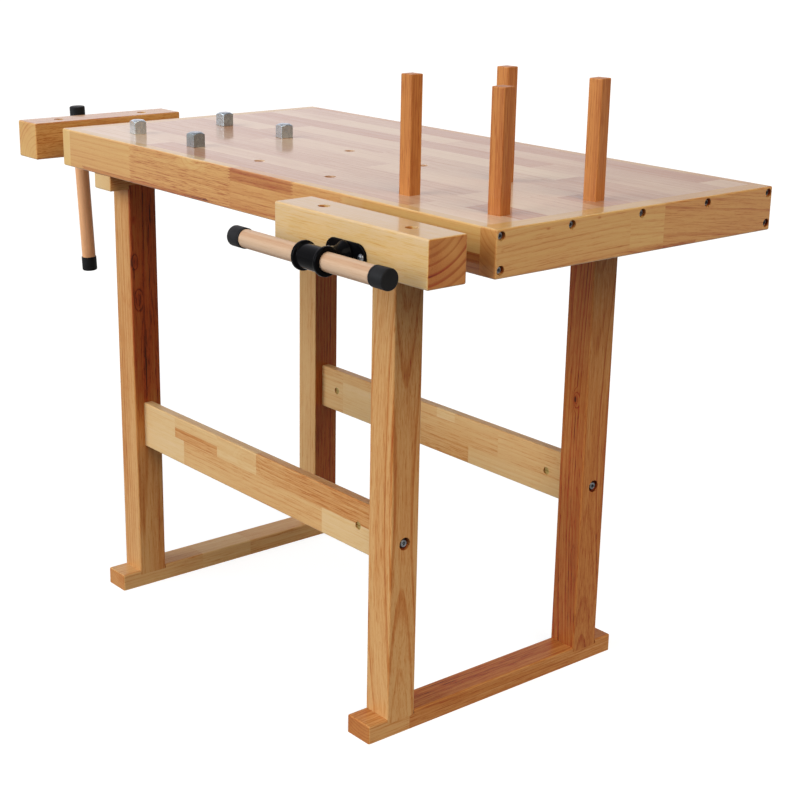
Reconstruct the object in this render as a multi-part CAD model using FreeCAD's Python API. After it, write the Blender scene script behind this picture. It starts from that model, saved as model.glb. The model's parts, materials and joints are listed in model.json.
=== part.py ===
import FreeCAD, Part
import math
import os
from FreeCAD import Vector

# Woodworking bench: a framed and bolted wooden top on two trestle frames, with a front vise,
# an end vise, four square-headed metal bench dogs and four tall square wooden pegs.
# Lengths are millimetres, angles are degrees.
#
# Everything is built in a construction frame whose origin is on the floor under the middle of
# the bench top: +X runs along the top towards the front vise, +Y from front to back, +Z up.
# Each finished piece is then moved so that the origin lies under the middle of the whole
# object's box.

# ---- bench top ----------------------------------------------------------------------------------
TOP_LENGTH = 1200.0
TOP_WIDTH = 600.0
BENCH_HEIGHT = 900.0
PANEL_THICKNESS = 20.0
APRON_HEIGHT = 70.0
APRON_THICKNESS = 20.0
RIGHT_END_THICKNESS = 32.0
LEFT_END_THICKNESS = 28.0
EDGE_ROUND = 3.0

# ---- dog holes in the top, dogs and pegs --------------------------------------------------------
DOG_HOLE_RADIUS = 9.5
DOG_ROWS = 2
DOG_PITCH = 195.0
DOG_SETBACK = 80.0          # from the top's front edge and from its right end to the first hole
DOG_END_MARGIN = 20.0       # least distance from the end vise's casting to the last column
DOG_FIT = 0.08              # radial clearance of a shank in its hole
SHANK_LENGTH = 32.0
SHANK_CHAMFER = 1.5
DOG_HEAD_SIDE = 23.5
DOG_HEAD_HEIGHT = 26.0
DOG_HEAD_FLAT_RADIUS = 10.0
DOG_HEAD_SLOPE = 30.0       # degrees, of the turned top outside the flat
PEG_SIDE = 23.5
PEG_HEIGHT = 180.0
PEG_EDGE = 1.5

# ---- trestle frames -----------------------------------------------------------------------------
RIGHT_OVERHANG = 257.0      # from the top's right end to the right frame's outer face
LEFT_OVERHANG = 113.5       # from the top's left end to the left frame's outer face
FRAME_SETBACK = 1.0         # from the top's front edge to the front ends of feet and bearers
FRAME_BACK_SETBACK = 24.0   # from the top's back edge to their back ends
LEG_WIDTH = 57.0
LEG_DEPTH = 58.0
FOOT_HEIGHT = 32.0
FOOT_TOE = 39.5             # the foot's free length in front of the front leg, and behind the back leg
BEARER_HEIGHT = 28.0
TRENCH_DEPTH = 8.0          # how far a leg is let into its foot and into its bearer
STRETCHER_BOTTOM = 294.0
STRETCHER_HEIGHT = 89.0
STRETCHER_THICKNESS = 20.0

# ---- leg bolts with barrel nuts, through the legs into the stretchers ---------------------------
LEG_BOLT_RADIUS = 4.0
LEG_BOLT_HEAD_RADIUS = 6.5
LEG_BOLT_HEAD_HEIGHT = 8.0
LEG_BOLT_SOCKET = 6.0       # across the flats of the hexagon socket
WASHER_RADIUS = 10.0
WASHER_THICKNESS = 1.6
LEG_BORE_RADIUS = 11.0      # counterbore in the leg's outer face
LEG_BORE_DEPTH = 12.0
LEG_NUT_RADIUS = 7.0
LEG_NUT_LENGTH = 16.0
LEG_NUT_INSET = 50.0        # from the stretcher's end to the nut's axis
BOLT_TIP = 8.0              # thread beyond a nut's axis
HOLE_CLEARANCE = 0.25       # radial, round a bolt's shank
SNUG = 0.05                 # radial, round nuts and screws in their own holes
SLOT_WIDTH = 1.6
SLOT_DEPTH = 1.5

# ---- lag screws that hold the legs to feet and bearers ------------------------------------------
LAG_RADIUS = 4.0
LAG_LENGTH = 80.0
LAG_HEAD_FLATS = 13.0
LAG_HEAD_HEIGHT = 5.5
LAG_BORE_RADIUS = 9.0
LAG_BORE_DEPTH = 8.0

# ---- bolts and barrel nuts that hold the end boards ---------------------------------------------
BOARD_FIRST_PITCH = 137.5   # along the top row, from the front apron's bolt to the next
BOARD_BOLT_PITCH = 147.5    # between the bolts after that one
BOARD_BOLTS_BETWEEN = 3     # in the top row, between the bolts in the two aprons
BOARD_BOLT_RADIUS = 3.0
BOARD_BOLT_HEAD_RADIUS = 5.0
BOARD_BOLT_HEAD_HEIGHT = 6.0
BOARD_BOLT_SOCKET = 5.0
BOARD_BORE_RADIUS = 7.0
BOARD_BORE_DEPTH = 10.0
BOARD_NUT_RADIUS = 5.0
BOARD_NUT_LENGTH = 12.0
BOARD_NUT_INSET = 40.0
LOWER_BOLT_RISE = 12.0      # from the aprons' lower edge to the lower corner bolts

# ---- angle brackets between bearers and aprons --------------------------------------------------
BRACKET_LEG = 40.0
BRACKET_WIDTH = 40.0
BRACKET_SHEET = 3.0
BRACKET_SCREW_SPREAD = 20.0

# ---- pan-head wood screws -----------------------------------------------------------------------
PAN_RADIUS = 2.25
PAN_HEAD_RADIUS = 4.8
PAN_LENGTH = 16.0
PAN_HEAD_HEIGHT_RATIO = 0.67  # of the head's radius
CROSS_WIDTH_RATIO = 0.27
CROSS_LENGTH_RATIO = 1.1
CROSS_DEPTH_RATIO = 0.35

# ---- vises --------------------------------------------------------------------------------------
FRONT_VISE_GAP = 48.0       # opening at rest
END_VISE_GAP = 80.0
MAX_OPENING = 150.0
FRONT_JAW_LENGTH = 345.0
END_JAW_LENGTH = 331.0
END_JAW_HOLE_SPACING = 190.0  # the front jaw's two dog holes line up with two columns of the top
END_VISE_FROM_FRONT = 151.0  # from the top's front edge to the end vise's screw
JAW_THICKNESS = 70.0
JAW_HEIGHT = 70.0
SCREW_DROP = 48.5           # from the bench's working surface down to the vise screws
SCREW_RADIUS = 10.0
SCREW_SPIGOT_RADIUS = 8.0
SCREW_HOLE_CLEARANCE = 1.5
RUNNING_FIT = 0.08          # radial, for rods in bushes and for the screw in its nut
ROD_RADIUS = 8.0
ROD_SPREAD = 50.0           # from the screw to each guide rod
ROD_SOCKET_DEPTH = 45.0
ROD_THREAD_RADIUS = 6.0
ROD_PIN_RADIUS = 3.0
ROD_PIN_RECESS = 1.0
BUSH_WALL = 3.0

PLATE_LENGTH = 90.0
PLATE_HEIGHT = 38.0
PLATE_THICKNESS = 4.0
PLATE_ROUND = 1.5
PLATE_SCREW_SPREAD = 36.0   # from the vise screw to each of the plate's own screws
PLATE_SCREW_RADIUS = 2.75
PLATE_SCREW_HEAD_RADIUS = 6.0

HUB_OFFSET = 56.0           # from the jaw's outer face to the handle's axis
HUB_GAP = 0.3               # running gap between hub and plate, and between collar and jaw
HUB_FOOT_RADIUS = 19.0
HUB_FOOT_LIP = 3.0
HUB_NECK_RADIUS = 13.5
HUB_FLARE = 17.0
HUB_HALF_LENGTH = 29.0
HUB_BARREL_RADIUS = 18.0
HUB_FLANGE_RADIUS = 21.75
HUB_FLANGE_WIDTH = 8.0
HUB_FLANGE_ROUND = 2.5
HUB_PIN_RADIUS = 2.5
HUB_PIN_SET = 22.0          # from the hub's foot to its pin
SPIGOT_END_WALL = 1.5       # metal between the spigot's end and the handle's bore

COLLAR_RADIUS = 16.5
COLLAR_WIDTH = 8.0
COLLAR_RECESS_CLEARANCE = 1.5

HANDLE_RADIUS = 14.0
FRONT_HANDLE_LENGTH = 356.0  # over both caps
END_HANDLE_LENGTH = 345.0
HANDLE_FIT = 0.3            # radial
CAP_RADIUS = 15.5
CAP_LENGTH = 29.0
CAP_END = 3.0
CAP_ROUND = 2.5
FRONT_HANDLE_SHIFT = -16.0  # how far the front handle is slid along +X
END_HANDLE_TILT = 2.5       # the end handle's lean from the vertical
CAP_SEAT = 0.3              # between the hanging handle's upper cap and the hub

NUT_BODY_LENGTH = 80.0
NUT_BODY_WIDTH = 140.0
NUT_PLATE_THICKNESS = 8.0
NUT_BOSS_RADIUS = 19.0
ROD_BOSS_RADIUS = 13.0
NUT_WEB = 10.0
BODY_SCREW_RADIUS = 3.0
BODY_SCREW_BITE = 14.0      # depth in the panel
BODY_SCREW_FLATS = 10.0
BODY_SCREW_HEAD = 4.0
BODY_SCREW_MARGIN = 8.0

TIE_BAR_THICKNESS = 6.0
TIE_BAR_HEIGHT = 26.0
TIE_BAR_MARGIN = 13.0
TIE_BAR_STOP = 6.0          # left between tie bar and nut body when the vise is fully open
TIE_BAR_CLEARANCE = 0.4
TIE_NUT_FLATS = 19.0
TIE_NUT_HEIGHT = 10.0
THREAD_PROUD = 2.0
SCREW_PROUD = 6.0

# ---- places that follow from the sizes above ----------------------------------------------------
FRONT = -TOP_WIDTH / 2
BACK = TOP_WIDTH / 2
LEFT = -TOP_LENGTH / 2
RIGHT = TOP_LENGTH / 2
APRON_BOTTOM = BENCH_HEIGHT - APRON_HEIGHT
PANEL_BOTTOM = BENCH_HEIGHT - PANEL_THICKNESS
PANEL_MIDDLE = BENCH_HEIGHT - PANEL_THICKNESS / 2
PANEL_LEFT = LEFT + LEFT_END_THICKNESS
PANEL_RIGHT = RIGHT - RIGHT_END_THICKNESS
APRON_MIDDLE = BACK - APRON_THICKNESS / 2
LEFT_FRAME_X = LEFT + LEFT_OVERHANG + LEG_WIDTH / 2
RIGHT_FRAME_X = RIGHT - RIGHT_OVERHANG - LEG_WIDTH / 2
FOOT_FRONT = FRONT + FRAME_SETBACK
FOOT_BACK = BACK - FRAME_BACK_SETBACK
FRONT_LEG_Y = FOOT_FRONT + FOOT_TOE + LEG_DEPTH / 2
BACK_LEG_Y = FOOT_BACK - FOOT_TOE - LEG_DEPTH / 2
LEG_BOTTOM = FOOT_HEIGHT - TRENCH_DEPTH
BEARER_BOTTOM = APRON_BOTTOM - BEARER_HEIGHT
LEG_TOP = BEARER_BOTTOM + TRENCH_DEPTH
STRETCHER_MIDDLE = STRETCHER_BOTTOM + STRETCHER_HEIGHT / 2
SHANK_RADIUS = DOG_HOLE_RADIUS - DOG_FIT
DOG_RUN = TOP_LENGTH - DOG_SETBACK - LEFT_END_THICKNESS - NUT_BODY_LENGTH - DOG_END_MARGIN
DOG_COLUMNS = int(DOG_RUN // DOG_PITCH) + 1
SCREW_Z = BENCH_HEIGHT - SCREW_DROP
JAW_BOTTOM = BENCH_HEIGHT - JAW_HEIGHT
ROD_PIN_TOP = SCREW_Z + ROD_RADIUS + ROD_PIN_RADIUS
UP = Vector(0, 0, 1)


# ---- basic shapes -------------------------------------------------------------------------------
def block(x_span, y_span, z_span):
    """A box between two values on each axis."""
    size = [max(span) - min(span) for span in (x_span, y_span, z_span)]
    return Part.makeBox(*size, Vector(min(x_span), min(y_span), min(z_span)))


def around(middle, width):
    """The two ends of a stretch of the given width about its middle."""
    return (middle - width / 2, middle + width / 2)


def bar(radius, start, end):
    """A round bar from one point to another."""
    start = Vector(*start)
    run = Vector(*end) - start
    return Part.makeCylinder(radius, run.Length, start, run)


def hexagon(flats, height):
    """A hexagonal prism standing on the origin, given across its flats."""
    corner = flats / math.sqrt(3)
    points = [
        Vector(corner * math.cos(math.radians(60 * i)), corner * math.sin(math.radians(60 * i)), 0)
        for i in range(7)
    ]
    return Part.Face(Part.makePolygon(points)).extrude(UP * height)


def set_along(shape, point, direction):
    """Turns a shape built along +Z to a direction and stands it on a point."""
    turn = FreeCAD.Rotation(UP, Vector(*direction))
    shape.Placement = FreeCAD.Placement(Vector(*point), turn)
    return shape


def middle_of(edge):
    return edge.valueAt((edge.FirstParameter + edge.LastParameter) / 2)


def round_edges(shape, radius, wanted):
    """Fillets the edges whose middle passes the test."""
    return shape.makeFillet(radius, [edge for edge in shape.Edges if wanted(middle_of(edge))])


def near(value, target):
    return abs(value - target) < 1e-6


# ---- fasteners, built with the head's underside on the origin and the shank down -Z -------------
def cap_bolt(radius, length, head_radius, head_height, socket):
    """A round-headed bolt with a hexagon socket."""
    head = Part.makeCylinder(head_radius, head_height)
    head = round_edges(head, head_height / 10, lambda p: near(p.z, head_height))
    drive = hexagon(socket, head_height / 2)
    drive.translate(UP * head_height / 2)
    shank = Part.makeCylinder(radius, length, Vector(0, 0, -length))
    return head.cut(drive).fuse(shank)


def lag_screw(radius, length, flats, head_height):
    """A hexagon-headed wood screw with a short pointed tip."""
    tip = radius * 2
    shank = Part.makeCylinder(radius, length - tip, Vector(0, 0, tip - length))
    point = Part.makeCone(radius / 4, radius, tip, Vector(0, 0, -length))
    return hexagon(flats, head_height).fuse([shank, point])


def pan_screw(radius, head_radius):
    """A domed wood screw with a cross recess and a pointed tip."""
    height = head_radius * PAN_HEAD_HEIGHT_RATIO
    dome_radius = (head_radius ** 2 + height ** 2) / (2 * height)
    dome = Part.makeSphere(dome_radius, Vector(0, 0, height - dome_radius))
    head = dome.common(Part.makeCylinder(head_radius, height))
    recess_z = (height - head_radius * CROSS_DEPTH_RATIO, height + 1)
    long = around(0, head_radius * CROSS_LENGTH_RATIO)
    narrow = around(0, head_radius * CROSS_WIDTH_RATIO)
    tip = radius * 2
    shank = Part.makeCylinder(radius, PAN_LENGTH - tip, Vector(0, 0, tip - PAN_LENGTH))
    point = Part.makeCone(radius / 4, radius, tip, Vector(0, 0, -PAN_LENGTH))
    return head.cut([block(long, narrow, recess_z), block(narrow, long, recess_z)]).fuse([shank, point])


def pilot(radius, length):
    """The hole for a screw's shank, from the head's underside down -Z."""
    return Part.makeCylinder(radius + SNUG, length + SNUG, Vector(0, 0, -length - SNUG))


def barrel_nut(radius, length, thread_radius):
    """A cross dowel about the origin: its axis along Z, its thread along X, slotted on top."""
    body = Part.makeCylinder(radius, length, Vector(0, 0, -length / 2))
    thread = bar(thread_radius + SNUG, (-radius - 1, 0, 0), (radius + 1, 0, 0))
    slot = block(around(0, 2 * radius + 2), around(0, SLOT_WIDTH), (length / 2 - SLOT_DEPTH, length))
    return body.cut([thread, slot])


# ---- bench top ----------------------------------------------------------------------------------
def dog_places():
    """Hole centres, column by column from the right end, each from front to back."""
    return [
        (RIGHT - DOG_SETBACK - column * DOG_PITCH, FRONT + DOG_SETBACK + row * DOG_PITCH)
        for column in range(DOG_COLUMNS)
        for row in range(DOG_ROWS)
    ]


def board_bolt_places():
    """Positions (y, z) of the end-board bolts: a top row and two lower corners."""
    first = BOARD_FIRST_PITCH - APRON_MIDDLE
    between = [first + i * BOARD_BOLT_PITCH for i in range(BOARD_BOLTS_BETWEEN)]
    upper = [(y, PANEL_MIDDLE) for y in (-APRON_MIDDLE, *between, APRON_MIDDLE)]
    lower = [(side * APRON_MIDDLE, APRON_BOTTOM + LOWER_BOLT_RISE) for side in (-1, 1)]
    return upper + lower


def in_apron(y):
    """Whether a bolt at this y runs into an apron rather than into the panel."""
    return abs(y) > BACK - APRON_THICKNESS


class EndBoard:
    """One end of the top: where the board is and which way it faces."""

    def __init__(self, outer_x, thickness, outward):
        self.outer_x = outer_x
        self.outward = outward
        self.inner_x = outer_x - outward * thickness
        self.seat_x = outer_x - outward * BOARD_BORE_DEPTH
        self.nut_x = self.inner_x - outward * BOARD_NUT_INSET
        self.tip_x = self.nut_x - outward * BOLT_TIP


RIGHT_BOARD = EndBoard(RIGHT, RIGHT_END_THICKNESS, 1)
LEFT_BOARD = EndBoard(LEFT, LEFT_END_THICKNESS, -1)


def board_bolt_holes(end):
    """Clearance holes and counterbores for one end board's bolts."""
    holes = []
    for y, z in board_bolt_places():
        past_tip = end.tip_x - end.outward
        holes.append(bar(BOARD_BOLT_RADIUS + HOLE_CLEARANCE, (end.outer_x, y, z), (past_tip, y, z)))
        holes.append(bar(BOARD_BORE_RADIUS, (end.outer_x + end.outward, y, z), (end.seat_x, y, z)))
    return holes


def board_nut_frame(end, y, z):
    """Centre and insertion direction of the barrel nut that a board bolt runs into."""
    if in_apron(y):
        return (end.nut_x, y, z), (0, -math.copysign(1, y), 0)
    return (end.nut_x, y, z), (0, 0, -1)


def board_nut_holes(end):
    """Blind holes for the barrel nuts, from the panel's underside or the apron's inner face."""
    holes = []
    for y, z in board_bolt_places():
        centre, way = board_nut_frame(end, y, z)
        to_mouth = (APRON_THICKNESS if in_apron(y) else PANEL_THICKNESS) / 2
        depth = BOARD_NUT_LENGTH / 2 + to_mouth + 1
        hole = Part.makeCylinder(BOARD_NUT_RADIUS + SNUG, depth, Vector(0, 0, -BOARD_NUT_LENGTH / 2))
        holes.append(set_along(hole, centre, way))
    return holes


def end_board(end):
    """A full-width end board, rounded on every edge that doesn't meet the top."""
    board = block((end.inner_x, end.outer_x), (FRONT, BACK), (APRON_BOTTOM, BENCH_HEIGHT))
    board = round_edges(board, EDGE_ROUND, lambda p: not near(p.x, end.inner_x))
    return board.cut(board_bolt_holes(end))


def board_bolts():
    bolts = []
    for end in (RIGHT_BOARD, LEFT_BOARD):
        for y, z in board_bolt_places():
            bolt = cap_bolt(
                BOARD_BOLT_RADIUS,
                abs(end.seat_x - end.tip_x),
                BOARD_BOLT_HEAD_RADIUS,
                BOARD_BOLT_HEAD_HEIGHT,
                BOARD_BOLT_SOCKET,
            )
            bolts.append(set_along(bolt, (end.seat_x, y, z), (end.outward, 0, 0)))
    return bolts


def board_nuts():
    nuts = []
    for end in (RIGHT_BOARD, LEFT_BOARD):
        for y, z in board_bolt_places():
            centre, way = board_nut_frame(end, y, z)
            nut = barrel_nut(BOARD_NUT_RADIUS, BOARD_NUT_LENGTH, BOARD_BOLT_RADIUS)
            nuts.append(set_along(nut, centre, way))
    return nuts


def top_panel():
    width = around(0, TOP_WIDTH - 2 * APRON_THICKNESS)
    panel = block((PANEL_LEFT, PANEL_RIGHT), width, (PANEL_BOTTOM, BENCH_HEIGHT))
    below, above = PANEL_BOTTOM - 1, BENCH_HEIGHT + 1
    holes = [bar(DOG_HOLE_RADIUS, (x, y, below), (x, y, above)) for x, y in dog_places()]
    for end in (RIGHT_BOARD, LEFT_BOARD):
        holes += board_bolt_holes(end)
        holes += board_nut_holes(end)
    for vise in VISES:
        holes += vise.body_screw_holes()
    return panel.cut(holes)


def apron(side):
    """The long board under one long edge of the top: side is -1 at the front, +1 at the back."""
    outer = side * BACK
    inner = side * (BACK - APRON_THICKNESS)
    board = block((PANEL_LEFT, PANEL_RIGHT), (inner, outer), (APRON_BOTTOM, BENCH_HEIGHT))
    middle = (PANEL_LEFT + PANEL_RIGHT) / 2
    board = round_edges(board, EDGE_ROUND, lambda p: near(p.y, outer) and near(p.x, middle))
    holes = []
    for end in (RIGHT_BOARD, LEFT_BOARD):
        holes += board_bolt_holes(end)
        holes += board_nut_holes(end)
    holes += [set_along(pilot(PAN_RADIUS, PAN_LENGTH), point, way) for point, way in bracket_screw_places()]
    return board.cut(holes)


# ---- trestle frames -----------------------------------------------------------------------------
def foot(frame_x):
    """A foot with a trench for each leg and a counterbored lag screw under each."""
    shape = block(around(frame_x, LEG_WIDTH), (FOOT_FRONT, FOOT_BACK), (0, FOOT_HEIGHT))
    shape = round_edges(shape, EDGE_ROUND, lambda p: p.z > 0)
    for leg_y in (FRONT_LEG_Y, BACK_LEG_Y):
        shape = shape.cut([
            block(around(frame_x, LEG_WIDTH), around(leg_y, LEG_DEPTH), (LEG_BOTTOM, FOOT_HEIGHT)),
            bar(LAG_BORE_RADIUS, (frame_x, leg_y, -1), (frame_x, leg_y, LAG_BORE_DEPTH)),
            bar(LAG_RADIUS + SNUG, (frame_x, leg_y, 0), (frame_x, leg_y, FOOT_HEIGHT)),
        ])
    return shape


def bearer(frame_x):
    """The rail across the tops of two legs, on which the top stands."""
    bore_floor = APRON_BOTTOM - LAG_BORE_DEPTH
    shape = block(around(frame_x, LEG_WIDTH), (FOOT_FRONT, FOOT_BACK), (BEARER_BOTTOM, APRON_BOTTOM))
    shape = round_edges(shape, EDGE_ROUND, lambda p: p.z < APRON_BOTTOM)
    for leg_y in (FRONT_LEG_Y, BACK_LEG_Y):
        shape = shape.cut([
            block(around(frame_x, LEG_WIDTH), around(leg_y, LEG_DEPTH), (BEARER_BOTTOM, LEG_TOP)),
            bar(LAG_BORE_RADIUS, (frame_x, leg_y, bore_floor), (frame_x, leg_y, BENCH_HEIGHT)),
            bar(LAG_RADIUS + SNUG, (frame_x, leg_y, BEARER_BOTTOM), (frame_x, leg_y, APRON_BOTTOM)),
        ])
    holes = [set_along(pilot(PAN_RADIUS, PAN_LENGTH), point, way) for point, way in bracket_screw_places()]
    return shape.cut(holes)


def lag_places(frame_x, leg_y):
    """Where the two lag screws of a leg have their heads, and which way the heads face."""
    return [
        ((frame_x, leg_y, LAG_BORE_DEPTH), (0, 0, -1)),
        ((frame_x, leg_y, APRON_BOTTOM - LAG_BORE_DEPTH), (0, 0, 1)),
    ]


def leg(frame_x, leg_y, outward):
    """A leg with its lag-screw pilots and the counterbored hole of its stretcher bolt."""
    shape = block(around(frame_x, LEG_WIDTH), around(leg_y, LEG_DEPTH), (LEG_BOTTOM, LEG_TOP))
    shape = round_edges(shape, EDGE_ROUND, lambda p: near(p.z, (LEG_BOTTOM + LEG_TOP) / 2))
    outer = frame_x + outward * LEG_WIDTH / 2
    inner = frame_x - outward * LEG_WIDTH / 2
    holes = [
        set_along(pilot(LAG_RADIUS, LAG_LENGTH), point, way)
        for point, way in lag_places(frame_x, leg_y)
    ]
    holes.append(bar(LEG_BORE_RADIUS, (outer + outward, leg_y, STRETCHER_MIDDLE),
                     (outer - outward * LEG_BORE_DEPTH, leg_y, STRETCHER_MIDDLE)))
    holes.append(bar(LEG_BOLT_RADIUS + HOLE_CLEARANCE, (outer, leg_y, STRETCHER_MIDDLE),
                     (inner, leg_y, STRETCHER_MIDDLE)))
    return shape.cut(holes)


def stretcher_ends():
    """The stretchers' two end faces: x, and the direction out of the stretcher."""
    return [(LEFT_FRAME_X + LEG_WIDTH / 2, -1), (RIGHT_FRAME_X - LEG_WIDTH / 2, 1)]


def nut_side(leg_y, outward):
    """Where a stretcher's nut hole opens: at the front, but behind at the front left leg."""
    return 1 if leg_y == FRONT_LEG_Y and outward < 0 else -1


def stretcher(leg_y):
    """A rail between the frames, with a bolt hole and a barrel-nut hole at each end."""
    (left, _), (right, _) = stretcher_ends()
    shape = block((left, right), around(leg_y, STRETCHER_THICKNESS),
                  (STRETCHER_BOTTOM, STRETCHER_BOTTOM + STRETCHER_HEIGHT))
    shape = round_edges(shape, EDGE_ROUND, lambda p: near(p.x, (left + right) / 2))
    for end_x, outward in stretcher_ends():
        nut_x = end_x - outward * LEG_NUT_INSET
        side = nut_side(leg_y, outward)
        face = leg_y + side * STRETCHER_THICKNESS / 2
        shape = shape.cut([
            bar(LEG_BOLT_RADIUS + HOLE_CLEARANCE, (end_x, leg_y, STRETCHER_MIDDLE),
                (nut_x - outward * (BOLT_TIP + 1), leg_y, STRETCHER_MIDDLE)),
            bar(LEG_NUT_RADIUS + SNUG, (nut_x, face + side, STRETCHER_MIDDLE),
                (nut_x, leg_y - side * LEG_NUT_LENGTH / 2, STRETCHER_MIDDLE)),
        ])
    return shape


def leg_bolts():
    """Bolts with washers, from the legs' outer faces into the stretchers."""
    pieces = []
    length = LEG_WIDTH - LEG_BORE_DEPTH + WASHER_THICKNESS + LEG_NUT_INSET + BOLT_TIP
    for end_x, outward in stretcher_ends():
        floor_x = end_x + outward * (LEG_WIDTH - LEG_BORE_DEPTH)
        for leg_y in (FRONT_LEG_Y, BACK_LEG_Y):
            washer = Part.makeCylinder(WASHER_RADIUS, WASHER_THICKNESS)
            washer = washer.cut(Part.makeCylinder(LEG_BOLT_RADIUS + HOLE_CLEARANCE, WASHER_THICKNESS))
            pieces.append(set_along(washer, (floor_x, leg_y, STRETCHER_MIDDLE), (outward, 0, 0)))
            bolt = cap_bolt(
                LEG_BOLT_RADIUS, length, LEG_BOLT_HEAD_RADIUS, LEG_BOLT_HEAD_HEIGHT, LEG_BOLT_SOCKET)
            seat = (floor_x + outward * WASHER_THICKNESS, leg_y, STRETCHER_MIDDLE)
            pieces.append(set_along(bolt, seat, (outward, 0, 0)))
    return pieces


def leg_nuts():
    nuts = []
    for end_x, outward in stretcher_ends():
        nut_x = end_x - outward * LEG_NUT_INSET
        for leg_y in (FRONT_LEG_Y, BACK_LEG_Y):
            nut = barrel_nut(LEG_NUT_RADIUS, LEG_NUT_LENGTH, LEG_BOLT_RADIUS)
            way = (0, nut_side(leg_y, outward), 0)
            nuts.append(set_along(nut, (nut_x, leg_y, STRETCHER_MIDDLE), way))
    return nuts


def leg_screws():
    """The lag screws that hold every leg to its foot and to its bearer."""
    screws = []
    for frame_x in (LEFT_FRAME_X, RIGHT_FRAME_X):
        for leg_y in (FRONT_LEG_Y, BACK_LEG_Y):
            for point, way in lag_places(frame_x, leg_y):
                screw = lag_screw(LAG_RADIUS, LAG_LENGTH, LAG_HEAD_FLATS, LAG_HEAD_HEIGHT)
                screws.append(set_along(screw, point, way))
    return screws


def bracket_screw_places():
    """Where every bracket screw's head sits, and which way the head faces."""
    places = []
    reach = BACK - APRON_THICKNESS
    for frame_x in (LEFT_FRAME_X, RIGHT_FRAME_X):
        for side in (-1, 1):
            for x in around(frame_x, BRACKET_SCREW_SPREAD):
                flat = side * (reach - BRACKET_LEG / 2)
                places.append(((x, flat, APRON_BOTTOM + BRACKET_SHEET), (0, 0, 1)))
                wall = side * (reach - BRACKET_SHEET)
                places.append(((x, wall, APRON_BOTTOM + BRACKET_LEG / 2), (0, -side, 0)))
    return places


def brackets():
    """Angle brackets that stand on the bearers and hold the aprons' inner faces."""
    pieces = []
    for frame_x in (LEFT_FRAME_X, RIGHT_FRAME_X):
        for side in (-1, 1):
            inner = side * (BACK - APRON_THICKNESS)
            wide = around(frame_x, BRACKET_WIDTH)
            thick = (APRON_BOTTOM, APRON_BOTTOM + BRACKET_SHEET)
            tall = (APRON_BOTTOM, APRON_BOTTOM + BRACKET_LEG)
            flat = block(wide, (inner, inner - side * BRACKET_LEG), thick)
            wall = block(wide, (inner, inner - side * BRACKET_SHEET), tall)
            holes = [
                set_along(pilot(PAN_RADIUS + HOLE_CLEARANCE, PAN_LENGTH), point, way)
                for point, way in bracket_screw_places()
            ]
            pieces.append(flat.fuse(wall).removeSplitter().cut(holes))
    return pieces


def bracket_screws():
    return [
        set_along(pan_screw(PAN_RADIUS, PAN_HEAD_RADIUS), point, way)
        for point, way in bracket_screw_places()
    ]


# ---- vises --------------------------------------------------------------------------------------
def rod(radius, x, start, end):
    """A round bar parallel to the vise screw and at its height, from one y to another."""
    return bar(radius, (x, start, SCREW_Z), (x, end, SCREW_Z))


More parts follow.
